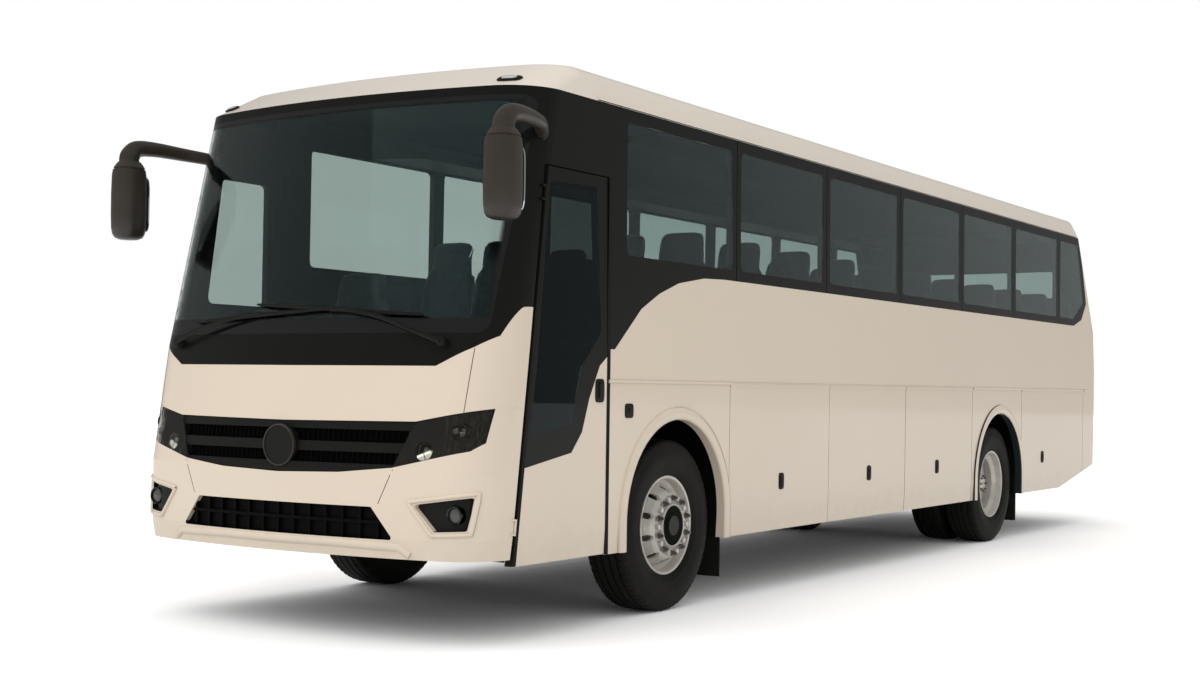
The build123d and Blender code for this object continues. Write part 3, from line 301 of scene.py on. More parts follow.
windscreen_glass = tinted_pane("windscreen_glass", "#CFD6D2", border=(1.705, 2.869, 1.150))
side_tint = tinted_pane("side_glass", "#B0BFBC")
door_tint = tinted_pane("door_glass", "#3A4443")
clear_cover = tinted_pane("lamp_cover", "#E9E6DE", reflection=warm_cast)

# %% [markdown]
# Metal parts: the wheels are silver-painted steel discs with a satin sheen and a little brake dust, chrome
# is inside the lamps, and the running gear is black chassis paint with road film. A metal keeps the default
# IOR, and only its roughness and colour tell one from another.

# %% Metal finishes
def metal(name, colour, roughness, metallic=1.0, grime="#3B3630", grime_part=0.25):
    """A metal or metal paint with patches of grime; grime_part is how thick they get."""
    made, tree, where = new_material(name)
    patches = noise(tree, where, 14.0, 7.0)
    film = spread(tree, (patches, "Fac"), 0.0, grime_part, 0.42, 0.75)
    tone = blend(tree, (film, "Result"), linear(colour), linear(grime))
    dull = spread(tree, (patches, "Fac"), roughness - 0.07, roughness + 0.12)
    relief = bump(tree, (patches, "Fac"), 0.05, 0.001)
    return principled(made, {
        "Base Color": (tone, 2), "Metallic": metallic, "Roughness": (dull, "Result"),
        "Normal": (relief, "Normal")})


wheel_silver = metal("silver_wheel_enamel", "#D2CEC6", 0.28, metallic=0.4, grime_part=0.15)
chrome = metal("lamp_chrome", "#E6E8EA", 0.08, grime_part=0.0)
nut_steel = metal("zinc_plated_steel", "#8B8882", 0.3, grime_part=0.4)
smoked_chrome = metal("smoked_chrome", "#4C4D4C", 0.16, grime_part=0.0)
chassis_paint = metal("chassis_paint", "#1B1B1A", 0.5, metallic=0.0, grime="#4A4238", grime_part=0.35)
pin_steel = metal("blued_steel", "#4A4A4A", 0.35)
lens_rib_scale = 1000 / 9.0 / 6.28 * 3


def lamp_lens(name, colour):
    """Coloured acrylic with ribs, about 9 mm wide, moulded on its back."""
    made, tree, where = new_material(name)
    ribs = add_node(tree, "ShaderNodeTexWave", {"Vector": (where, "Object"), "Scale": lens_rib_scale},
                    bands_direction="Z")
    relief = bump(tree, (ribs, "Fac"), 0.5, 0.002)
    return principled(made, {
        "Base Color": linear(colour), "Roughness": 0.12, "Coat Weight": 1.0, "Coat Roughness": 0.03,
        "Normal": (relief, "Normal")})


red_lens = lamp_lens("red_acrylic", "#8E1512")
amber_lens = lamp_lens("amber_acrylic", "#D9791A")
white_lens = lamp_lens("clear_acrylic", "#C9CBC8")
smoky_lens = lamp_lens("smoky_acrylic", "#4A4C48")

# %% [markdown]
# Tyre rubber is nearly black with a brown cast, matt on the flanks and a little polished on the tread.
# Seats are a dark blue-grey moquette, a pile fabric whose weave is drawn 6 mm wide so that it shows.

# %% Rubber and fabric
def tyre_rubber():
    made, tree, where = new_material("tyre_rubber")
    film = spread(tree, (noise(tree, where, 7.0, 8.0), "Fac"), 0.0, 0.3, 0.45, 0.8)
    tone = blend(tree, (film, "Result"), linear("#12110D"), linear("#2A271F"))
    relief = bump(tree, (noise(tree, where, 260.0, 2.0), "Fac"), 0.2, 0.001)
    return principled(made, {
        "Base Color": (tone, 2), "Roughness": 0.62, "Normal": (relief, "Normal"), "Specular IOR Level": 0.25})


def moquette(name, colour, fleck, weave_mm=6.0):
    made, tree, where = new_material(name)
    weave = add_node(tree, "ShaderNodeTexVoronoi", {"Vector": (where, "Object"), "Scale": 1000 / weave_mm})
    spots = add_node(tree, "ShaderNodeTexVoronoi", {"Vector": (where, "Object"), "Scale": 22.0}, distance="CHEBYCHEV")
    mark = combine(tree, "LESS_THAN", (spots, "Distance"), 0.22)
    faint = combine(tree, "MULTIPLY", (mark, "Value"), 0.5)
    tone = blend(tree, (faint, "Value"), linear(colour), linear(fleck))
    pile = bump(tree, (weave, "Distance"), 0.5, 0.001)
    return principled(made, {
        "Base Color": (tone, 2), "Roughness": 0.9, "Sheen Weight": 0.3, "Sheen Roughness": 0.4,
        "Normal": (pile, "Normal")})


rubber = tyre_rubber()
seat_cloth = moquette("seat_moquette", "#1C2326", "#33404A")

# %% [markdown]
# The CAD panels already have their right shapes, and their normals come from the exact surfaces, so they
# stay as they are and only get better finishes. A table says which finish each node wears, and a star
# stands for both sides or all of a kind.

# %% Finishes for the CAD panels
finish_of_nodes = [
    (body_enamel, ["front_bumper", "front_panel", "side_panel_*", "luggage_flap_*", "service_flap_*",
                   "entrance_door", "rear_bumper", "rear_wall", "engine_hatch"]),
    (roof_enamel, ["roof_front_cap", "roof_panel"]),
    (band_black, ["windscreen_surround", "window_band_*", "door_frame"]),
    (windscreen_glass, ["windscreen"]),
    (side_tint, ["side_glass_*", "rear_glass"]),
    (door_tint, ["door_glass"]),
    (clear_cover, ["headlamp_lenses"]),
    (dark_abs, ["grille", "headlamp_buckets", "fog_lamps", "steering_wheel", "arch_liners"]),
    (near_black_and_hub_shade, ["lower_intake"]),
    (red_lens, ["tail_lamps"]),
    (cabin_plastic, ["dashboard", "luggage_racks"]),
    (floor_vinyl, ["cabin_floor"]),
    (seal_rubber, ["mud_flaps"]),
    (pin_steel, ["tie_rod"]),
    (chassis_paint, ["chassis_frame", "luggage_bay", "engine", "front_axle", "rear_axle", "knuckle_*"]),
    (wheel_silver, ["wheel_*"])]
for material, patterns in finish_of_nodes:
    for node in [name for pattern in patterns for name in fnmatch.filter(nodes, pattern)]:
        nodes[node].data.materials.clear()
        nodes[node].data.materials.append(material)

# %% [markdown]
# Many pieces are simple sections carried along a path or turned about an axis. A loft through rings of
# equal length, a turned profile and a tube along a smooth curve do all of them. Each gives a shape, which
# is a list of points and a list of faces, and build turns it into an object with its material, put on its
# body.

# %% Mesh builders
def mesh_object(name, points, faces, crease=35):
    made = bpy.data.meshes.new(name)
    made.from_pydata([tuple(p) for p in points], [], faces)
    work = bmesh.new()
    work.from_mesh(made)
    bmesh.ops.remove_doubles(work, verts=work.verts, dist=1e-6)
    bmesh.ops.recalc_face_normals(work, faces=work.faces)
    work.to_mesh(made)
    work.free()
    made.shade_smooth()
    made.set_sharp_from_angle(angle=radians(crease))
    return bpy.data.objects.new(name, made)


def build(name, shape, body, material, crease=35, replaced=()):
    """An object from a (points, faces) shape, put on its body."""
    piece = mesh_object(name, *shape, crease=crease)
    piece.data.materials.append(material)
    bpy.context.scene.collection.objects.link(piece)
    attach(piece, body)
    if replaced:
        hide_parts(*replaced)
    return piece


def loft_faces(ring_count, ring_size, closed_path=False):
    """Quads between rings that each close on themselves, with a cap at both ends of an open path."""
    faces = []
    for i in range(ring_count if closed_path else ring_count - 1):
        for j in range(ring_size):
            a, b, k = i * ring_size, (i + 1) % ring_count * ring_size, (j + 1) % ring_size
            faces.append((a + j, a + k, b + k, b + j))
    if not closed_path:
        faces.append(tuple(range(ring_size)))
        faces.append(tuple((ring_count - 1) * ring_size + n for n in reversed(range(ring_size))))
    return faces


def loft(rings, closed_path=False):
    """Points and faces of one closed loft."""
    return [p for ring in rings for p in ring], loft_faces(len(rings), len(rings[0]), closed_path)


def merged(shapes):
    """Several (points, faces) shapes as one."""
    points, faces = [], []
    for shape_points, shape_faces in shapes:
        faces += [tuple(len(points) + n for n in face) for face in shape_faces]
        points += list(shape_points)
    return points, faces


def mirrored(side, line):
    """A line or profile of (x, other) pairs for one side of the coach."""
    return [(side * x, other) for x, other in line]


def turned_shape(profile, centre, steps=64):
    """A closed (x, radius) profile turned about an axis along X through centre."""
    rings = []
    for i in range(steps):
        turn = 2 * pi * i / steps
        rings.append([(centre[0] + x, centre[1] + r * cos(turn), centre[2] + r * sin(turn)) for x, r in profile])
    return loft(rings, closed_path=True)


def rounded_ring(half_a, half_b, exponent, count):
    """(a, b) offsets round an oval; a lower exponent makes it squarer."""
    turns = [2 * pi * i / count for i in range(count)]
    return [(half_a * copysign(abs(cos(turn)) ** exponent, cos(turn)),
             half_b * copysign(abs(sin(turn)) ** exponent, sin(turn))) for turn in turns]


along_x, along_y, along_z = (1, 0, 0), (0, 1, 0), (0, 0, 1)


def squarish(centre, across, upright, half_a, half_b, power, count=24):
    """A rounded rectangle's ring about a centre, in the plane of two unit vectors."""
    return [tuple(Vector(centre) + Vector(across) * a + Vector(upright) * b)
            for a, b in rounded_ring(half_a, half_b, 2 / power, count)]


def smooth_path(points, per_run=6):
    """A Catmull-Rom line through the points."""
    rows = [Vector(p) for p in points]
    rows = [2 * rows[0] - rows[1]] + rows + [2 * rows[-1] - rows[-2]]
    path = []
    for a, b, c, d in zip(rows, rows[1:], rows[2:], rows[3:]):
        for i in range(per_run):
            t = i / per_run
            path.append(0.5 * (2 * b + (c - a) * t + (2 * a - 5 * b + 4 * c - d) * t**2
                               + (3 * b - a - 3 * c + d) * t**3))
    return path + [rows[-2]]


def tube_shape(path, radii, count, flat=1.0, side_hint=along_z):
    """A tube along a path; radii is one number or one for each point."""
    rings = []
    path = [Vector(p) for p in path]
    for i, point in enumerate(path):
        ahead_here = (path[min(i + 1, len(path) - 1)] - path[max(i - 1, 0)]).normalized()
        across = Vector(side_hint) - ahead_here * Vector(side_hint).dot(ahead_here)
        across.normalize()
        other = ahead_here.cross(across)
        radius = radii if isinstance(radii, (int, float)) else radii[i]
        rings.append([tuple(point + across * radius * cos(2 * pi * j / count)
                            + other * radius * flat * sin(2 * pi * j / count)) for j in range(count)])
    return loft(rings)


# %% [markdown]
# The coach's own skin is a rule: a slightly bowed front with round corners, leaning back with height, and
# straight sides. These functions say where that skin is at a height, so that lamps, seams and handles can
# be laid on it exactly. The numbers are the same driving sizes that the CAD source uses.

# %% Where the skin is
front_axle_y, rear_axle_y, axle_height = -3.46, 2.37, 0.522
front_face, rear_face, half_width = -5.59, 5.59, 1.25
front_profile = [(0.38, 0.03), (0.56, 0), (0.9, 0), (1.387, 0.08), (1.56, 0.11), (2.95, 0.445), (3.12, 0.78)]
rear_profile = [(0.38, 0.06), (0.56, 0.01), (0.9, 0), (1.56, 0.005), (2.0, 0.05), (2.95, 0.6)]
width_profile = [(0.38, 0.008), (0.56, 0), (1.56, 0), (2.95, 0.012), (3.12, 0.04)]
front_bow, front_corner, rear_bow, rear_corner = 5.0, 0.3, 8.0, 0.2
slope_step, strip_step = 0.004, 0.04


def along(profile, height):
    for (low_z, a), (high_z, b) in zip(profile, profile[1:]):
        if height <= high_z:
            return a + (b - a) * max(0, height - low_z) / (high_z - low_z)
    return profile[-1][1]


def end_skin(x, z, way):
    """The y of the skin at the front (way -1) or the rear (way 1)."""
    bow, corner = (front_bow, front_corner) if way < 0 else (rear_bow, rear_corner)
    face = front_face + along(front_profile, z) if way < 0 else rear_face - along(rear_profile, z)
    half = half_width - along(width_profile, z)
    bow_centre = face - way * bow
    middle_x = half - corner
    turn = asin(middle_x / (bow - corner))
    if abs(x) <= bow * sin(turn):
        return bow_centre + way * sqrt(bow * bow - x * x)
    corner_y = bow_centre + way * sqrt((bow - corner) ** 2 - middle_x**2)
    return corner_y + way * sqrt(max(0, corner**2 - (abs(x) - middle_x) ** 2))


def on_end(x, z, out, way=-1):
    """A point on the front or rear skin, lifted off it by out."""
    slope_x = (end_skin(x + slope_step, z, way) - end_skin(x - slope_step, z, way)) / (2 * slope_step)
    slope_z = (end_skin(x, z + slope_step, way) - end_skin(x, z - slope_step, way)) / (2 * slope_step)
    normal = Vector((-slope_x, 1, -slope_z)) * way
    return Vector((x, end_skin(x, z, way), z)) + normal.normalized() * out


def front_strip(points, half_height, lifts):
    """A bar laid along an (x, z) line on the front skin; lifts shape its rounded section."""
    line, rings = [], []
    for (x0, z0), (x1, z1) in zip(points, points[1:]):
        count = max(1, ceil(hypot(x1 - x0, z1 - z0) / strip_step))
        line += [(x0 + (x1 - x0) * i / count, z0 + (z1 - z0) * i / count) for i in range(count)]
    line.append(points[-1])
    for i, (x, z) in enumerate(line):
        before, after = line[max(i - 1, 0)], line[min(i + 1, len(line) - 1)]
        run_x, run_z = after[0] - before[0], after[1] - before[1]
        size = hypot(run_x, run_z)
        side_x, side_z = -run_z / size, run_x / size
        rings.append([tuple(on_end(x + side_x * half_height * u, z + side_z * half_height * u, out))
                      for u, out in lifts])
    return loft(rings)


round_bar = [(-1, -0.004), (-1, 0.003), (-0.8, 0.008), (-0.4, 0.012), (0, 0.013), (0.4, 0.012), (0.8, 0.008),
             (1, 0.003), (1, -0.004)]
groove_line = [(-1, -0.0004), (-1, 0.0006), (1, 0.0006), (1, -0.0004)]

# %% [markdown]
# Tyres first, because a wheel without tread looks like a toy. The size is 295/80 R22.5, 1.044 m across. The
# section has four grooves, and every fourth step round the tyre the shoulder is cut down to make its
# notches. Turning the section in 288 steps gives notches about 11 mm wide, which the camera can see. The
# table gives half the section as (x, radius, whether it is notched).

# %% Tyres
tread_side = [(0.0, 0.5220, 0), (0.0215, 0.5217, 0), (0.0230, 0.5100, 0), (0.0305, 0.5100, 0),
              (0.0320, 0.5213, 0), (0.0690, 0.5202, 0), (0.0705, 0.5090, 0), (0.0785, 0.5090, 0),
              (0.0800, 0.5196, 1), (0.1000, 0.5188, 1), (0.1160, 0.5165, 1), (0.1260, 0.5090, 1),
              (0.1310, 0.4990, 1), (0.1325, 0.4960, 0), (0.1370, 0.4800, 0), (0.1425, 0.4550, 0),
              (0.1440, 0.4520, 0), (0.1440, 0.4480, 0), (0.1455, 0.4450, 0), (0.1474, 0.4150, 0),
              (0.1470, 0.3900, 0), (0.1440, 0.3680, 0), (0.1400, 0.3490, 0), (0.1405, 0.3460, 0),
              (0.1385, 0.3420, 0), (0.1330, 0.3250, 0), (0.1240, 0.3100, 0), (0.1180, 0.3020, 0),
              (0.1040, 0.2996, 0), (0.1027, 0.2884, 0)]
notch_depth, tread_steps = 0.007, 288


def tyre_shape(middle_x, axle_y):
    section = tread_side + [(-x, r, n) for x, r, n in reversed(tread_side[1:])]
    rings = []
    for i in range(tread_steps):
        turn = 2 * pi * i / tread_steps
        ring = []
        for x, r, notched in section:
            cut = notch_depth if notched and (i + (2 if x < 0 else 0)) % 4 == 0 else 0
            ring.append((middle_x + x, axle_y + (r - cut) * cos(turn), axle_height + (r - cut) * sin(turn)))
        rings.append(ring)
    return loft(rings, closed_path=True)


wheel_x, twin_x = 1.05, 0.72
wheel_rows = [("front_left", 1, front_axle_y, (wheel_x,), "tyre_front_left"),
              ("front_right", -1, front_axle_y, (wheel_x,), "tyre_front_right"),
              ("rear_left", 1, rear_axle_y, (wheel_x, twin_x), "tyres_rear_left"),
              ("rear_right", -1, rear_axle_y, (wheel_x, twin_x), "tyres_rear_right")]
for name, side, axle_y, places, node in wheel_rows:
    shapes = [tyre_shape(side * x, axle_y) for x in places]
    build(f"tread_{name}", merged(shapes), f"roll_{name}", rubber, 32, (node,))

# %% [markdown]
# Wheel nuts repeat round a circle, so Geometry Nodes place them. The tree takes the circle's radius, the
# count and the nut's size as named inputs, puts a hexagonal nut with a round stud end at each point, and
# ends in Realize Instances and Set Material, because instances don't survive export. The result is turned
# into a plain mesh at once.

# %% A Geometry Nodes ring of nuts
def group_with_inputs(name, rows):
    """An empty geometry tree with named inputs (name, socket kind, default), and its input node."""
    tree = bpy.data.node_groups.new(name, "GeometryNodeTree")
    tree.interface.new_socket("Geometry", in_out="OUTPUT", socket_type="NodeSocketGeometry")
    for label, kind, default in rows:
        socket = tree.interface.new_socket(label, in_out="INPUT", socket_type=kind)
        socket.default_value = default
    return tree, add_node(tree, "NodeGroupInput")


def end_group(tree, points, instance, material):
    """Puts the instance on every point, makes it real, sets the material and ends the tree."""
    placed = add_node(tree, "GeometryNodeInstanceOnPoints", {"Points": (points, 0), "Instance": instance})
    plain = add_node(tree, "GeometryNodeRealizeInstances", {0: (placed, 0)})
    finish = add_node(tree, "GeometryNodeSetMaterial", {0: (plain, 0), "Material": material})
    add_node(tree, "NodeGroupOutput", {0: (finish, 0)})
    return tree


def ring_of_nuts_tree():
    tree, given = group_with_inputs("ring_of_nuts", [
        ("Circle Radius", "NodeSocketFloat", 0.1675), ("Count", "NodeSocketInt", 10),
        ("Nut Radius", "NodeSocketFloat", 0.015), ("Nut Height", "NodeSocketFloat", 0.026)])
    radius = (given, "Nut Radius")
    circle = add_node(tree, "GeometryNodeMeshCircle", {"Vertices": (given, "Count"),
                                                       "Radius": (given, "Circle Radius")})
    washer_size = combine(tree, "MULTIPLY", radius, 1.3)
    stud_size = combine(tree, "MULTIPLY", radius, 0.55)
    rows = [(6, radius, radius, (given, "Nut Height")), (16, (washer_size, 0), radius, 0.006),
            (12, (stud_size, 0), (stud_size, 0), 0.012)]
    hexagon, washer, stud = [add_node(tree, "GeometryNodeMeshCone", {
        "Vertices": count, "Radius Bottom": low, "Radius Top": high, "Depth": depth})
        for count, low, high, depth in rows]
    stud_up = add_node(tree, "ShaderNodeCombineXYZ", {"Z": (given, "Nut Height")})
    stud_place = add_node(tree, "GeometryNodeTransform", {"Geometry": (stud, 0), "Translation": (stud_up, 0)})
    one_nut = add_node(tree, "GeometryNodeJoinGeometry")
    for piece in (hexagon, washer, stud_place):
        tree.links.new(piece.outputs[0], one_nut.inputs[0])
    return end_group(tree, circle, (one_nut, 0), nut_steel)


def grown(name, tree, values, matrix):
    """Runs a tree on a stand-in object, and returns its result as plain points and faces."""
    holder = bpy.data.objects.new(name + "_holder", bpy.data.meshes.new(name + "_holder"))
    bpy.context.scene.collection.objects.link(holder)
    grower = holder.modifiers.new("grower", "NODES")
    grower.node_group = tree
    sockets = {item.name: item.identifier for item in tree.interface.items_tree if item.in_out == "INPUT"}
    for label, value in values.items():
        grower[sockets[label]] = value
    holder.update_tag()
    bpy.context.view_layer.update()
    result = bpy.data.meshes.new_from_object(holder.evaluated_get(bpy.context.evaluated_depsgraph_get()))
    result.transform(matrix)
    shape = [tuple(v.co) for v in result.vertices], [tuple(p.vertices) for p in result.polygons]
    bpy.data.objects.remove(holder)
    bpy.data.meshes.remove(result)
    return shape


nut_tree = ring_of_nuts_tree()


def nuts_on_wheel(name, side, axle_y, out, circle, count, radius, height):
    """A ring of nuts whose feet stand out from the wheel's middle plane by out."""
    outwards = Matrix.Rotation(radians(90 * side), 4, "Y")
    place = Matrix.Translation((side * (wheel_x + out), axle_y, axle_height)) @ outwards
    values = {"Circle Radius": circle, "Count": count, "Nut Radius": radius, "Nut Height": height}
    return grown(name, nut_tree, values, place)


front_disc_out, rear_disc_out, nut_lift, nut_circle = 0.152, -0.150, 0.012, 0.1675
for name, side, axle_y, places, node in wheel_rows:
    out = (front_disc_out if name.startswith("front") else rear_disc_out) + nut_lift
    nuts = nuts_on_wheel(f"nuts_{name}", side, axle_y, out, nut_circle, 10, 0.015, 0.026)
    build(f"wheel_nuts_{name}", nuts, f"roll_{name}", nut_steel, 30)

# %% [markdown]
# The hub sits inside the ring of nuts: at the front a shallow cap in a rolled bright rim, drawn near-black
# as painted shade of the hub's deep bore, and at the rear a deep axle flange with its own small bolts. A
# bright rolled edge also runs round each rim, where the disc meets the tyre.

# %% Hubs and rim edges
hub_ring_profile = [(0.150, 0.135), (0.170, 0.133), (0.1765, 0.128), (0.1765, 0.124), (0.172, 0.1205),
                    (0.150, 0.1205)]
front_hub_shade_cap = [(0.168, 0.1205), (0.1715, 0.120), (0.1715, 0.084), (0.1745, 0.080), (0.1745, 0.060),
                     (0.1705, 0.056), (0.1705, 0.002), (0.168, 0.001)]
rear_hub_profile = [(-0.150, 0.120), (-0.020, 0.120), (0.000, 0.108), (0.006, 0.094), (0.034, 0.090),
                    (0.042, 0.080), (0.044, 0.002), (0.036, 0.001), (0.020, 0.07), (-0.140, 0.09)]
rim_edge = [(0.118, 0.2975), (0.122, 0.3010), (0.1255, 0.2985), (0.1255, 0.2920), (0.1215, 0.2850),
            (0.117, 0.2845), (0.118, 0.290)]
for name, side, axle_y, places, node in wheel_rows:
    centre, body = (side * wheel_x, axle_y, axle_height), f"roll_{name}"
    if name.startswith("front"):
        # The front hub's near-black cap is painted shade of the hub's deep bore.
        build(f"hub_{name}", turned_shape(mirrored(side, front_hub_shade_cap), centre, 48), body,
              near_black_and_hub_shade, 30)
        build(f"hub_ring_{name}", turned_shape(mirrored(side, hub_ring_profile), centre, 64), body,
              wheel_silver, 40)
    else:
        build(f"hub_{name}", turned_shape(mirrored(side, rear_hub_profile), centre, 48), body,
              wheel_silver, 30)
        studs = nuts_on_wheel(f"studs_{name}", side, axle_y, 0.046, 0.068, 8, 0.009, 0.012)
        build(f"flange_bolts_{name}", studs, body, nut_steel, 30)
    build(f"rim_edge_{name}", turned_shape(mirrored(side, rim_edge), centre, 96), body,
          wheel_silver, 40)

# %% [markdown]
# Each wheel arch has a rounded cream lip, a bent section that runs up one leg, over the wheel and down
# again. The section is carried along that path: a half ellipse that stands about 18 mm off the side.

# %% Arch lips
lip_section = [(-0.038, 1.2495), (-0.0375, 1.2560), (-0.0345, 1.2608), (-0.022, 1.2655), (0.0, 1.2680),
               (0.022, 1.2655), (0.0345, 1.2608), (0.0375, 1.2560), (0.038, 1.2495)]
arch_radius, arch_middle, skirt = 0.626, 0.575, 0.410
leg_steps, arch_steps = 4, 56


def arch_path():
    """(y offset, z, outward y, outward z) along the lip's middle line."""
    legs = [skirt + (arch_middle - skirt) * i / leg_steps for i in range(leg_steps)]
    turns = [pi - pi * i / arch_steps for i in range(arch_steps + 1)]
    over = [(arch_radius * cos(turn), arch_middle + arch_radius * sin(turn), cos(turn), sin(turn)) for turn in turns]
    return [(-arch_radius, z, -1, 0) for z in legs] + over + [(arch_radius, z, 1, 0) for z in reversed(legs)]


for side_name, side in sides:
    lips = [loft([[(side * x, axle_y + y + out_y * u, z + out_z * u) for u, x in lip_section]
                  for y, z, out_y, out_z in arch_path()]) for axle_y in (front_axle_y, rear_axle_y)]
    build(f"arch_lips_{side_name}", merged(lips), "coach", body_enamel, 50)

# %% [markdown]
# The bumper has more form than a plain shell: a full rounded lip below the air intake, and a raised frame
# round each fog lamp whose inner point runs out towards the middle. Fine dark lines mark where the bumper's
# corner pieces meet its middle. All are laid on the skin by the functions above.

# %% Bumper lip, fog lamp frames and seams
lip_line = [(-0.850, 0.476), (-0.79, 0.516), (-0.4, 0.524), (0, 0.523), (0.4, 0.524), (0.79, 0.516),
            (0.850, 0.476)]
fog_frame_line = [(0.845, 0.752), (1.190, 0.803), (1.163, 0.595), (0.982, 0.585), (0.845, 0.752)]
seam_lines = [("bumper", ((0.752, 0.915), (0.668, 0.735)), 0.0016),
              ("panel", ((1.105, 1.215), (1.120, 1.545)), 0.0014)]
build("bumper_lip", front_strip(lip_line, 0.021, round_bar), "coach", body_enamel, 60)
for side_name, side in sides:
    fog_frame = front_strip(mirrored(side, fog_frame_line), 0.011, round_bar)
    build(f"fog_frame_{side_name}", fog_frame, "coach", body_enamel, 60)
    for name, line, half_height in seam_lines:
        seam = front_strip(mirrored(side, line), half_height, groove_line)
        build(f"{name}_seam_{side_name}", seam, "coach", seal_rubber)

# %% [markdown]
# Behind each clear cover the headlamp has two smoked bowls with a projector lens in each. A bright split
# reflector stands low on the inner side and a dim one high on the outer side. A fog lamp has a domed lens
# in a smoked bezel ring.

# %% Lamps at the front
def turned_to_front(profile, centre, steps=40):
    """A profile of (depth outwards, radius) turned about an axis along Y."""
    points, faces = turned_shape(profile, (0, 0, 0), steps)
    return [(centre[0] + y, centre[1] - x, centre[2] + z) for x, y, z in points], faces


bowl_scale, bowl_depth, bowl_places = 0.86, 0.026, [(0.912, 1.012), (1.098, 1.118)]
bowl = [(-0.045, 0.004), (-0.042, 0.020), (-0.030, 0.034), (-0.010, 0.042), (0.004, 0.044), (0.006, 0.048),
        (0.002, 0.050), (-0.012, 0.048), (-0.034, 0.040), (-0.050, 0.022), (-0.052, 0.004)]
dome = [(-0.022, 0.0005), (0.004, 0.0005), (0.002, 0.012), (-0.004, 0.022), (-0.014, 0.028), (-0.022, 0.028)]
reflector_rows = [
    ("low", chrome, (((0.868, 0.968), (0.918, 0.988), 0.020), ((0.922, 0.990), (0.968, 1.008), 0.020))),
    ("high", smoked_chrome, (((1.062, 1.118), (1.088, 1.126), 0.014), ((1.098, 1.102), (1.124, 1.110), 0.014)))]
reflector_flatness, reflector_depth = 0.35, 0.019
reflector_section = [(u, out * reflector_flatness - reflector_depth) for u, out in round_bar]
fog_x, fog_z, fog_depth = 1.088, 0.690, 0.022
fog_bezel = [(-0.03, 0.036), (0.010, 0.040), (0.012, 0.045), (0.008, 0.048), (-0.03, 0.048)]
fog_dome = [(-0.02, 0.0005), (0.010, 0.0005), (0.007, 0.02), (0.0, 0.037), (-0.02, 0.037)]
for side_name, side in sides:
    places = [(side * x, end_skin(x, z, -1) + bowl_depth, z) for x, z in bowl_places]
    for name, profile, material in (("bowls", bowl, smoked_chrome), ("projectors", dome, smoky_lens)):
        scaled = [(depth * bowl_scale, r * bowl_scale) for depth, r in profile]
        build(f"headlamp_{name}_{side_name}", merged([turned_to_front(scaled, place) for place in places]),
              "coach", material, 30)
    for name, material, rows in reflector_rows:
        flashes = [front_strip(mirrored(side, (start, end)), half, reflector_section) for start, end, half in rows]
        build(f"headlamp_reflectors_{name}_{side_name}", merged(flashes), "coach", material, 40)
    fog = (side * fog_x, end_skin(fog_x, fog_z, -1) + fog_depth, fog_z)
    build(f"fog_bezel_{side_name}", turned_to_front(fog_bezel, fog), "coach", smoked_chrome, 30)
    build(f"fog_lens_{side_name}", turned_to_front(fog_dome, fog), "coach", smoky_lens, 30)

# %% [markdown]
# Marker lamps sit on the roof's front corners: a black oval base with a clear lens.

# %% Marker lamps
def oval_plate(x, z, half_x, half_z, low, high, way=-1):
    """A small oval raised plate that follows the skin."""
    return loft([[tuple(on_end(x + a, z + b, out, way))
                  for a, b in rounded_ring(half_x * scale, half_z * scale, 0.7, 28)]
                 for scale, out in ((1.0, low), (1.0, high * 0.6), (0.93, high * 0.9), (0.8, high),
                                    (0.02, high * 1.08))])


marker_x, marker_z = 1.030, 2.996
for side_name, side in sides:
    build(f"marker_base_{side_name}", oval_plate(side * marker_x, marker_z, 0.062, 0.017, -0.004, 0.012),
          "coach", dark_abs, 40)
    build(f"marker_lens_{side_name}", oval_plate(side * marker_x, marker_z, 0.040, 0.010, 0.007, 0.017),
          "coach", white_lens, 40)

# %% [markdown]
# The grille's plain disc has a thin lighter rim. Behind the three bars run fine upright blades, and behind
# those a near-black sheet, which is painted shade so that the gaps look deep. The blades repeat, so a
# second Geometry Nodes tree sets them out on a line: count, spacing and size are its inputs.

# %% Grille blades and the disc's rim
def row_of_blades_tree():
    tree, given = group_with_inputs("row_of_blades", [
        ("Count", "NodeSocketInt", 10), ("Step", "NodeSocketVector", (0.1, 0, 0)),
        ("Size", "NodeSocketVector", (0.01, 0.01, 0.1))])
    line = add_node(tree, "GeometryNodeMeshLine", {"Count": (given, "Count"), "Offset": (given, "Step")})
    blade = add_node(tree, "GeometryNodeMeshCube", {"Size": (given, "Size")})
    return end_group(tree, line, (blade, 0), dark_abs)


blade_tree = row_of_blades_tree()
blade_count, blade_step, grille_z, blade_depth, grille_lean = 45, 0.034, 1.02, 0.0295, 0.14
blades = grown("grille_blades", blade_tree, {
    "Count": blade_count, "Step": (blade_step, 0, 0), "Size": (0.0045, 0.007, 0.215)},
    Matrix.Translation((-blade_step * (blade_count - 1) / 2, 0, grille_z)))
bowed = [(x, y + end_skin(x, grille_z, -1) + blade_depth + (z - grille_z) * grille_lean, z) for x, y, z in blades[0]]
build("grille_blades", (bowed, blades[1]), "coach", near_black_and_hub_shade, 20)
# The black sheet behind the blades is painted shade of the grille's deep gaps.
gap_shade_section = [(-1, -0.0300), (-1, -0.0280), (1, -0.0280), (1, -0.0300)]
build("grille_gauze", merged([front_strip([(-half_x, z), (half_x, z)], 0.040, gap_shade_section)
                              for z, half_x in ((0.966, 0.745), (1.082, 0.805))]),
      "coach", gap_shade_black, 30)
rim_profile = [(-0.004, 0.104), (0.003, 0.105), (0.005, 0.109), (0.003, 0.113), (-0.012, 0.1135),
               (-0.012, 0.104)]
disc_middle = (0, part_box("grille")[0].y, 1.022)
build("disc_rim", turned_to_front(rim_profile, disc_middle, 72), "coach", mirror_shell, 40)

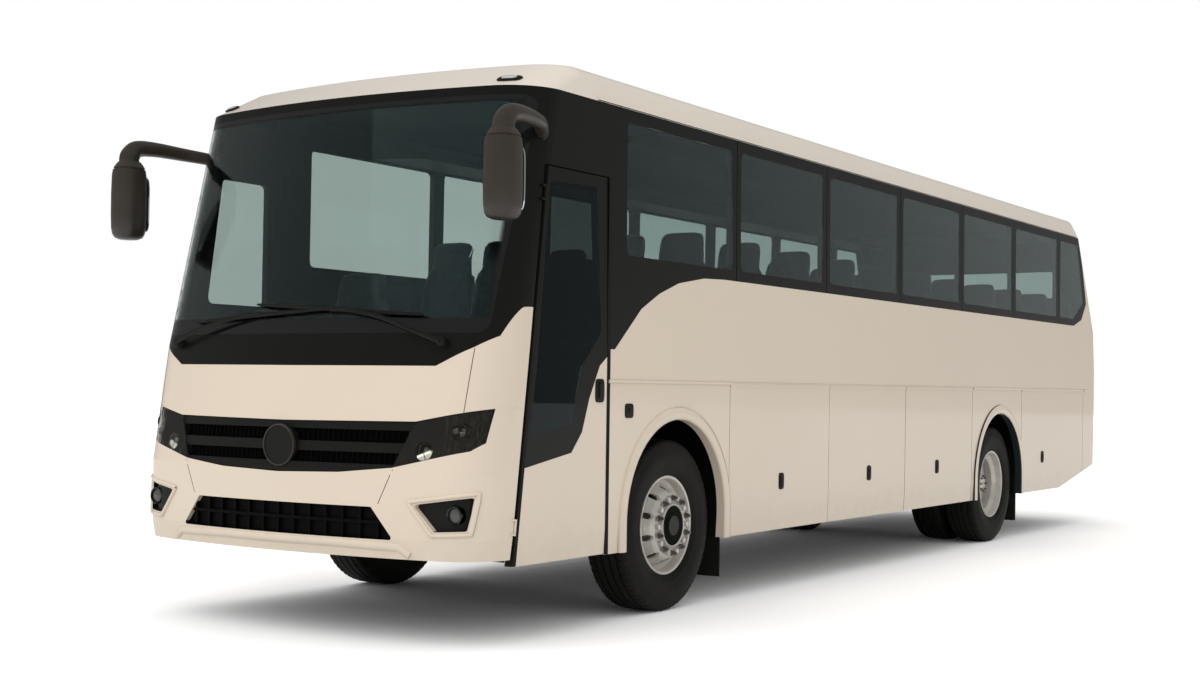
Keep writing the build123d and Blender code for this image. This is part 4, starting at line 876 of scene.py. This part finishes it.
# %% [markdown]
# Handles and small fittings on the sides: a black plate with a hinged paddle on each luggage flap, a larger
# one on the door, and a lock box ahead of the wheel arch. They are thin rounded plates, and each rides on
# the panel that it opens.

# %% Handles
def side_plate(side, y, z, half_y, half_z, low, high):
    """A rounded plate that stands on the side from x = low to x = high."""
    return loft([squarish((side * x, y, z), along_y, along_z, half_y * scale, half_z * scale, 5.0, 28)
                 for scale, x in ((1.0, low), (1.0, high - 0.004), (0.92, high - 0.001), (0.8, high), (0.02, high))])


flap_handles = [("flap_1", 1.40), ("flap_2", 2.88), ("flap_3", 4.28), ("service", 7.07)]
plate_z, paddle_z = 0.735, 0.728
lock_y, lock_z = front_axle_y - 0.572, 1.22
door_y, door_plate_z, door_paddle_z = front_axle_y - 0.884, 1.334, 1.340
for side_name, side in sides:
    for flap_name, behind in flap_handles:
        y = front_axle_y + behind
        plate = side_plate(side, y, plate_z, 0.036, 0.056, 1.2490, 1.2580)
        paddle = side_plate(side, y, paddle_z, 0.021, 0.038, 1.2575, 1.2630)
        build(f"handle_{flap_name}_{side_name}", merged([plate, paddle]), f"{flap_name}_{side_name}",
              dark_abs, 30)
    build(f"lock_box_{side_name}", merged([side_plate(side, lock_y, lock_z, 0.046, 0.042, 1.249, 1.257),
                                           side_plate(side, lock_y, lock_z, 0.012, 0.016, 1.2565, 1.260)]),
          "coach", dark_abs, 30)
build("door_handle", merged([side_plate(1, door_y - 0.004, door_plate_z, 0.045, 0.066, 1.249, 1.258),
                             side_plate(1, door_y, door_paddle_z, 0.024, 0.048, 1.2575, 1.266)]),
      "door", dark_abs, 30)

# %% [markdown]
# The entrance door is framed by black rubber. One seal runs up the door's leading edge, which leans with
# the front's corner, one up its rear edge, and another stands on the side wall behind the door. Each has a
# flat lip on the outside, 1 mm proud, and the first and last fill their gaps too.

# %% Door seals
in_gap, on_skin = (1.203, 1.2492), (1.2480, 1.2512)
front_joint_y, door_rear_y, front_lean = front_axle_y - 1.721, front_axle_y - 0.798, 0.1334


def upright_bar(x_range, y_low, y_high, z_low=0.418, z_high=2.528, lean=0.0):
    """A bar from z_low to z_high; lean moves its y with height, measured from the skirt."""
    return loft([[(x, y + lean * (z - skirt), z) for x, y in (
        (x_range[0], y_low), (x_range[1], y_low), (x_range[1], y_high), (x_range[0], y_high))]
        for z in (z_low, z_high)])


door_seals = {
    "door_edge_seal": ("door", [
        upright_bar(in_gap, front_joint_y + 0.0195, front_joint_y + 0.0238, lean=front_lean),
        upright_bar(on_skin, front_joint_y + 0.0225, front_joint_y + 0.0500, lean=front_lean)]),
    "door_rear_seal": ("door", [upright_bar(on_skin, door_rear_y - 0.0150, door_rear_y - 0.0045)]),
    "door_post_seal": ("coach", [
        upright_bar(in_gap, door_rear_y - 0.0035, door_rear_y - 0.0002, 0.412, 2.530),
        upright_bar(on_skin, door_rear_y - 0.0030, door_rear_y + 0.0190, 0.412, 2.530)])}
for name, (body, bars) in door_seals.items():
    build(name, merged(bars), body, seal_rubber, 30)

# %% [markdown]
# The mirrors hang like a hare's ears: a thick bent arm leaves the pillar, turns down and carries a deep
# drooping head. The arm is a tube on a smooth path, and the head a loft of rounded sections with a thin
# seam below its neck. Their glass faces the driver at the back.

# %% Mirrors
mirror_x, mirror_y = 1.362, -5.440
root_x, root_y, root_z = 1.200, front_axle_y - 1.430, 2.702
arm_at_root, arm_swell = 0.036, 0.022
arm_places = [(1.262, -4.965, 2.716), (1.320, -5.080, 2.728), (1.352, -5.260, 2.735), (mirror_x, -5.385, 2.722),
              (mirror_x, -5.438, 2.672), (mirror_x, mirror_y, 2.622)]
head_rows = [(2.640, 0.058, 0.058), (2.622, 0.070, 0.072), (2.606, 0.078, 0.082), (2.603, 0.080, 0.084),
             (2.600, 0.076, 0.080), (2.596, 0.076, 0.080), (2.593, 0.082, 0.087), (2.560, 0.087, 0.092),
             (2.450, 0.0895, 0.0945), (2.330, 0.0895, 0.0945), (2.250, 0.087, 0.092), (2.215, 0.082, 0.086),
             (2.194, 0.070, 0.074), (2.183, 0.048, 0.050), (2.180, 0.002, 0.002)]
mirror_parts, mirror_panes = [], []
for side_name, side in sides:
    root = Vector((side * root_x, root_y, root_z))
    path = smooth_path([root] + [(side * x, y, z) for x, y, z in arm_places], 7)
    widths = [arm_at_root + arm_swell * min(1, i / (len(path) - 1) * 1.2) ** 2 for i in range(len(path))]
    collar = [root + Vector((side * -0.02, 0.01, 0)), root + Vector((side * 0.018, -0.02, 0.004))]
    mirror_parts += [
        tube_shape(path, widths, 20, side_hint=(0.4 * side, 0.2, 1.0)), tube_shape(collar, 0.048, 20),
        loft([squarish((side * mirror_x, mirror_y, z), along_x, along_y, a, b, 2.8, 32) for z, a, b in head_rows])]
    mirror_panes.append(loft([
        squarish((side * mirror_x, y, 2.395), along_x, along_z, 0.068 * scale, 0.165 * scale, 5, 32)
        for scale, y in ((1, -5.352), (1, -5.3425), (0.96, -5.341), (0.02, -5.341))]))
build("mirror_housings", merged(mirror_parts), "coach", mirror_shell, 40, ("mirrors",))
build("mirror_glass", merged(mirror_panes), "coach", chrome, 30)

# %% [markdown]
# Each wiper has a tapered pressed arm that pivots low at the windscreen's corner and a long blade with a
# rubber lip. Blades lie nearly level across the bottom of the glass, so both cross in the middle.

# %% Wipers
pivot_z, blade_steps = 1.568, 26
wiper_shapes = []
wiper_rows = [(0.960, 0.560, 1.700, 0.820, 1.712, -0.300, 1.778, 0.020),
              (-0.960, -0.560, 1.680, -0.820, 1.688, 0.300, 1.756, 0.012)]
for pivot_x, bend_x, bend_z, x_1, z_1, x_2, z_2, out in wiper_rows:
    cap = [on_end(pivot_x, pivot_z, lift) for lift in (-0.01, 0.02, 0.045, 0.052)]
    arm = smooth_path([on_end(pivot_x, pivot_z, 0.046), on_end(bend_x * 0.4 + pivot_x * 0.6, 1.622, 0.048),
                       on_end(bend_x, bend_z, 0.046), on_end((x_1 + x_2) / 2, (z_1 + z_2) / 2 + 0.008, 0.036)])
    parts = [i / blade_steps for i in range(blade_steps + 1)]
    spine, lip = [[on_end(x_1 + (x_2 - x_1) * part, z_1 + (z_2 - z_1) * part, out + lift) for part in parts]
                  for lift in (0.008, -0.006)]
    wiper_shapes += [
        tube_shape(cap, [0.030, 0.028, 0.024, 0.012], 20),
        tube_shape(arm, [0.017 - 0.009 * i / (len(arm) - 1) for i in range(len(arm))], 12, flat=0.6),
        tube_shape(spine, [0.006 + 0.006 * sqrt(abs(sin(pi * part))) for part in parts], 10),
        tube_shape(lip, 0.004, 6, flat=3.0)]
build("wiper_set", merged(wiper_shapes), "coach", dark_abs, 40, ("wipers",))

# %% [markdown]
# Coach seats are moulded foam in moquette, with a waisted back and a rounded head restraint. One seat back
# and one cushion are lofted from rows of rounded sections, and Geometry Nodes then sets out the rows
# through the cabin.

# %% Seats
floor_top, seat_pitch, seat_rows = 1.2254, 0.79, 11
first_row_y, column_x, half_gap = front_axle_y + 0.060, 0.71, 0.219


def seat_parts(width, back_rows, cushion_rows):
    """Points and faces for one seat, its middle at x = 0, its front at y = 0 and the floor at z = 0."""
    back = [squarish((0, (y0 + y1) / 2, z), along_x, along_y, width * w / 2, (y1 - y0) / 2, 3.6)
            for z, y0, y1, w in back_rows]
    cushion = [squarish((0, y, (z0 + z1) / 2), along_x, along_z, width * w / 2, (z1 - z0) / 2, 3.6)
               for y, z0, z1, w in cushion_rows]
    return merged([loft(back), loft(cushion)])


back_rows = [(0.420, 0.372, 0.420, 0.60), (0.428, 0.352, 0.440, 0.90), (0.450, 0.345, 0.448, 0.97),
             (0.600, 0.368, 0.474, 1.0), (0.760, 0.398, 0.498, 0.97), (0.860, 0.424, 0.514, 0.93),
             (0.920, 0.436, 0.522, 0.84), (0.945, 0.442, 0.526, 0.74), (0.975, 0.442, 0.532, 0.72),
             (1.050, 0.456, 0.546, 0.72), (1.100, 0.468, 0.552, 0.68), (1.122, 0.482, 0.548, 0.60),
             (1.130, 0.500, 0.538, 0.40)]
cushion_rows = [(0.004, 0.352, 0.400, 0.70), (0.010, 0.330, 0.425, 0.93), (0.030, 0.316, 0.442, 0.99),
                (0.120, 0.306, 0.447, 1.0), (0.260, 0.304, 0.444, 1.0), (0.360, 0.306, 0.440, 0.98),
                (0.385, 0.320, 0.425, 0.90)]
one_seat = seat_parts(0.425, back_rows, cushion_rows)
pair = merged([([(x + shift, y, z) for x, y, z in one_seat[0]], one_seat[1]) for shift in (-half_gap, half_gap)])


def rows_of_seats_tree(source):
    tree, given = group_with_inputs("rows_of_seats", [
        ("Count", "NodeSocketInt", seat_rows), ("Pitch", "NodeSocketFloat", seat_pitch)])
    step = add_node(tree, "ShaderNodeCombineXYZ", {"Y": (given, "Pitch")})
    line = add_node(tree, "GeometryNodeMeshLine", {"Count": (given, "Count"), "Offset": (step, 0)})
    model = add_node(tree, "GeometryNodeObjectInfo", {"Object": source})
    return end_group(tree, line, (model, "Geometry"), seat_cloth)


pattern_seat = mesh_object("pattern_seat", *pair)
bpy.context.scene.collection.objects.link(pattern_seat)
seat_tree = rows_of_seats_tree(pattern_seat)
columns = [grown(f"seats_{side_name}", seat_tree, {"Count": seat_rows, "Pitch": seat_pitch},
                 Matrix.Translation((side * column_x, first_row_y, floor_top))) for side_name, side in sides]
bpy.data.objects.remove(pattern_seat)
seats = build("seat_cushions", merged(columns), "coach", seat_cloth, 60, ("passenger_seats",))

# %% [markdown]
# Under each pair of cushions stand four flat steel legs and two rails. The driver has a wider seat of the
# same kind on a plinth, behind the wheel.

# %% Seat frames and the driver's seat
def block_shape(low_corner, high_corner):
    """A plain bar with slightly eased long edges and a 6 mm chamfer on top."""
    (x0, y0, z0), (x1, y1, z1) = low_corner, high_corner
    return loft([squarish(((x0 + x1) / 2, (y0 + y1) / 2, z), along_x, along_y,
                          (x1 - x0) / 2 * scale, (y1 - y0) / 2 * scale, 9, 16)
                 for z, scale in ((z0, 1), (z1 - 0.006, 1), (z1, 0.96))])


leg_places, rail_ends, rail_low, rail_high = (0.40, 1.02), (0.30, 1.12), 0.292, 0.312
frames = []
for side_name, side in sides:
    rail_low_x, rail_high_x = sorted(side * x for x in rail_ends)
    for row in range(seat_rows):
        y = first_row_y + seat_pitch * row
        for x in (side * place for place in leg_places):
            for y0, y1, leg in ((0.04, 0.075, 0.315), (0.385, 0.42, 0.36)):
                frames.append(block_shape((x - 0.02, y + y0, floor_top), (x + 0.02, y + y1, floor_top + leg)))
        for y0, y1 in ((0.04, 0.10), (0.360, 0.42)):
            frames.append(block_shape((rail_low_x, y + y0, floor_top + rail_low),
                                      (rail_high_x, y + y1, floor_top + rail_high)))
build("seat_frames", merged(frames), "coach", chassis_paint, 30)

driver_x, driver_y, platform = -0.62, front_axle_y - 1.270, 0.9554
driver_back = [(z * 0.965, y0 + 0.02, y1 + 0.035, w) for z, y0, y1, w in back_rows]
driver_points, driver_faces = seat_parts(0.49, driver_back, cushion_rows)
driver_points = [(x + driver_x, y + driver_y, z + platform) for x, y, z in driver_points]
driver_cushions = build("driver_cushions", (driver_points, driver_faces), "coach", seat_cloth, 60,
                        ("driver_seat",))
plinth = block_shape((driver_x - 0.18, driver_y + 0.04, platform),
                     (driver_x + 0.18, driver_y + 0.34, platform + 0.31))
build("driver_plinth", plinth, "coach", cabin_plastic, 30)

# %% [markdown]
# The back of the coach isn't in the photograph, so it is finished as such coaches usually are: lamp
# clusters with red, amber and clear parts, a louvred engine hatch, a high brake lamp and two reflectors in
# the bumper. Louvres repeat, so the blade tree makes them.

# %% Rear fittings
louvre_z, louvre_step, louvre_lean, louvre_out = 1.080, 0.046, 0.45, 0.004
louvre_points, louvre_faces = merged([
    grown(f"louvres_{x}", blade_tree, {"Count": 9, "Step": (0, 0, louvre_step), "Size": (0.20, 0.010, 0.026)},
          Matrix.Translation((x, 0, louvre_z))) for x in (-0.44, -0.22, 0.0, 0.22, 0.44)])
tilted = []
for x, y, z in louvre_points:
    # Each slat's lower edge stands out further than its upper edge.
    slat = round((z - louvre_z) / louvre_step)
    offset = z - (louvre_z + louvre_step * slat)
    tilted.append((x, end_skin(x, z, 1) + y + louvre_out - offset * louvre_lean, z))
build("engine_louvres", (tilted, louvre_faces), "hatch", dark_abs, 20)

rear_lamp_x, rear_reflector_x = 1.005, 0.95
rear_lamps = [("stop_lamp", 1.06, red_lens, "red_lens"), ("turn_lamp", 1.23, amber_lens, "red_lens"),
              ("reverse_lamp", 1.40, white_lens, "clear_glass")]
for side_name, side in sides:
    for name, z, material, slot in rear_lamps:
        build(f"{name}_{side_name}", oval_plate(side * rear_lamp_x, z, 0.070, 0.060, 0.0005, 0.012, way=1),
              "coach", material, 40)
    reflector = oval_plate(side * rear_reflector_x, 0.70, 0.06, 0.022, 0.0, 0.010, way=1)
    build(f"rear_reflector_{side_name}", reflector, "coach", red_lens, 40)
build("high_stop_lamp", oval_plate(0, 2.76, 0.16, 0.018, 0.0, 0.012, way=1), "coach", red_lens, 40)
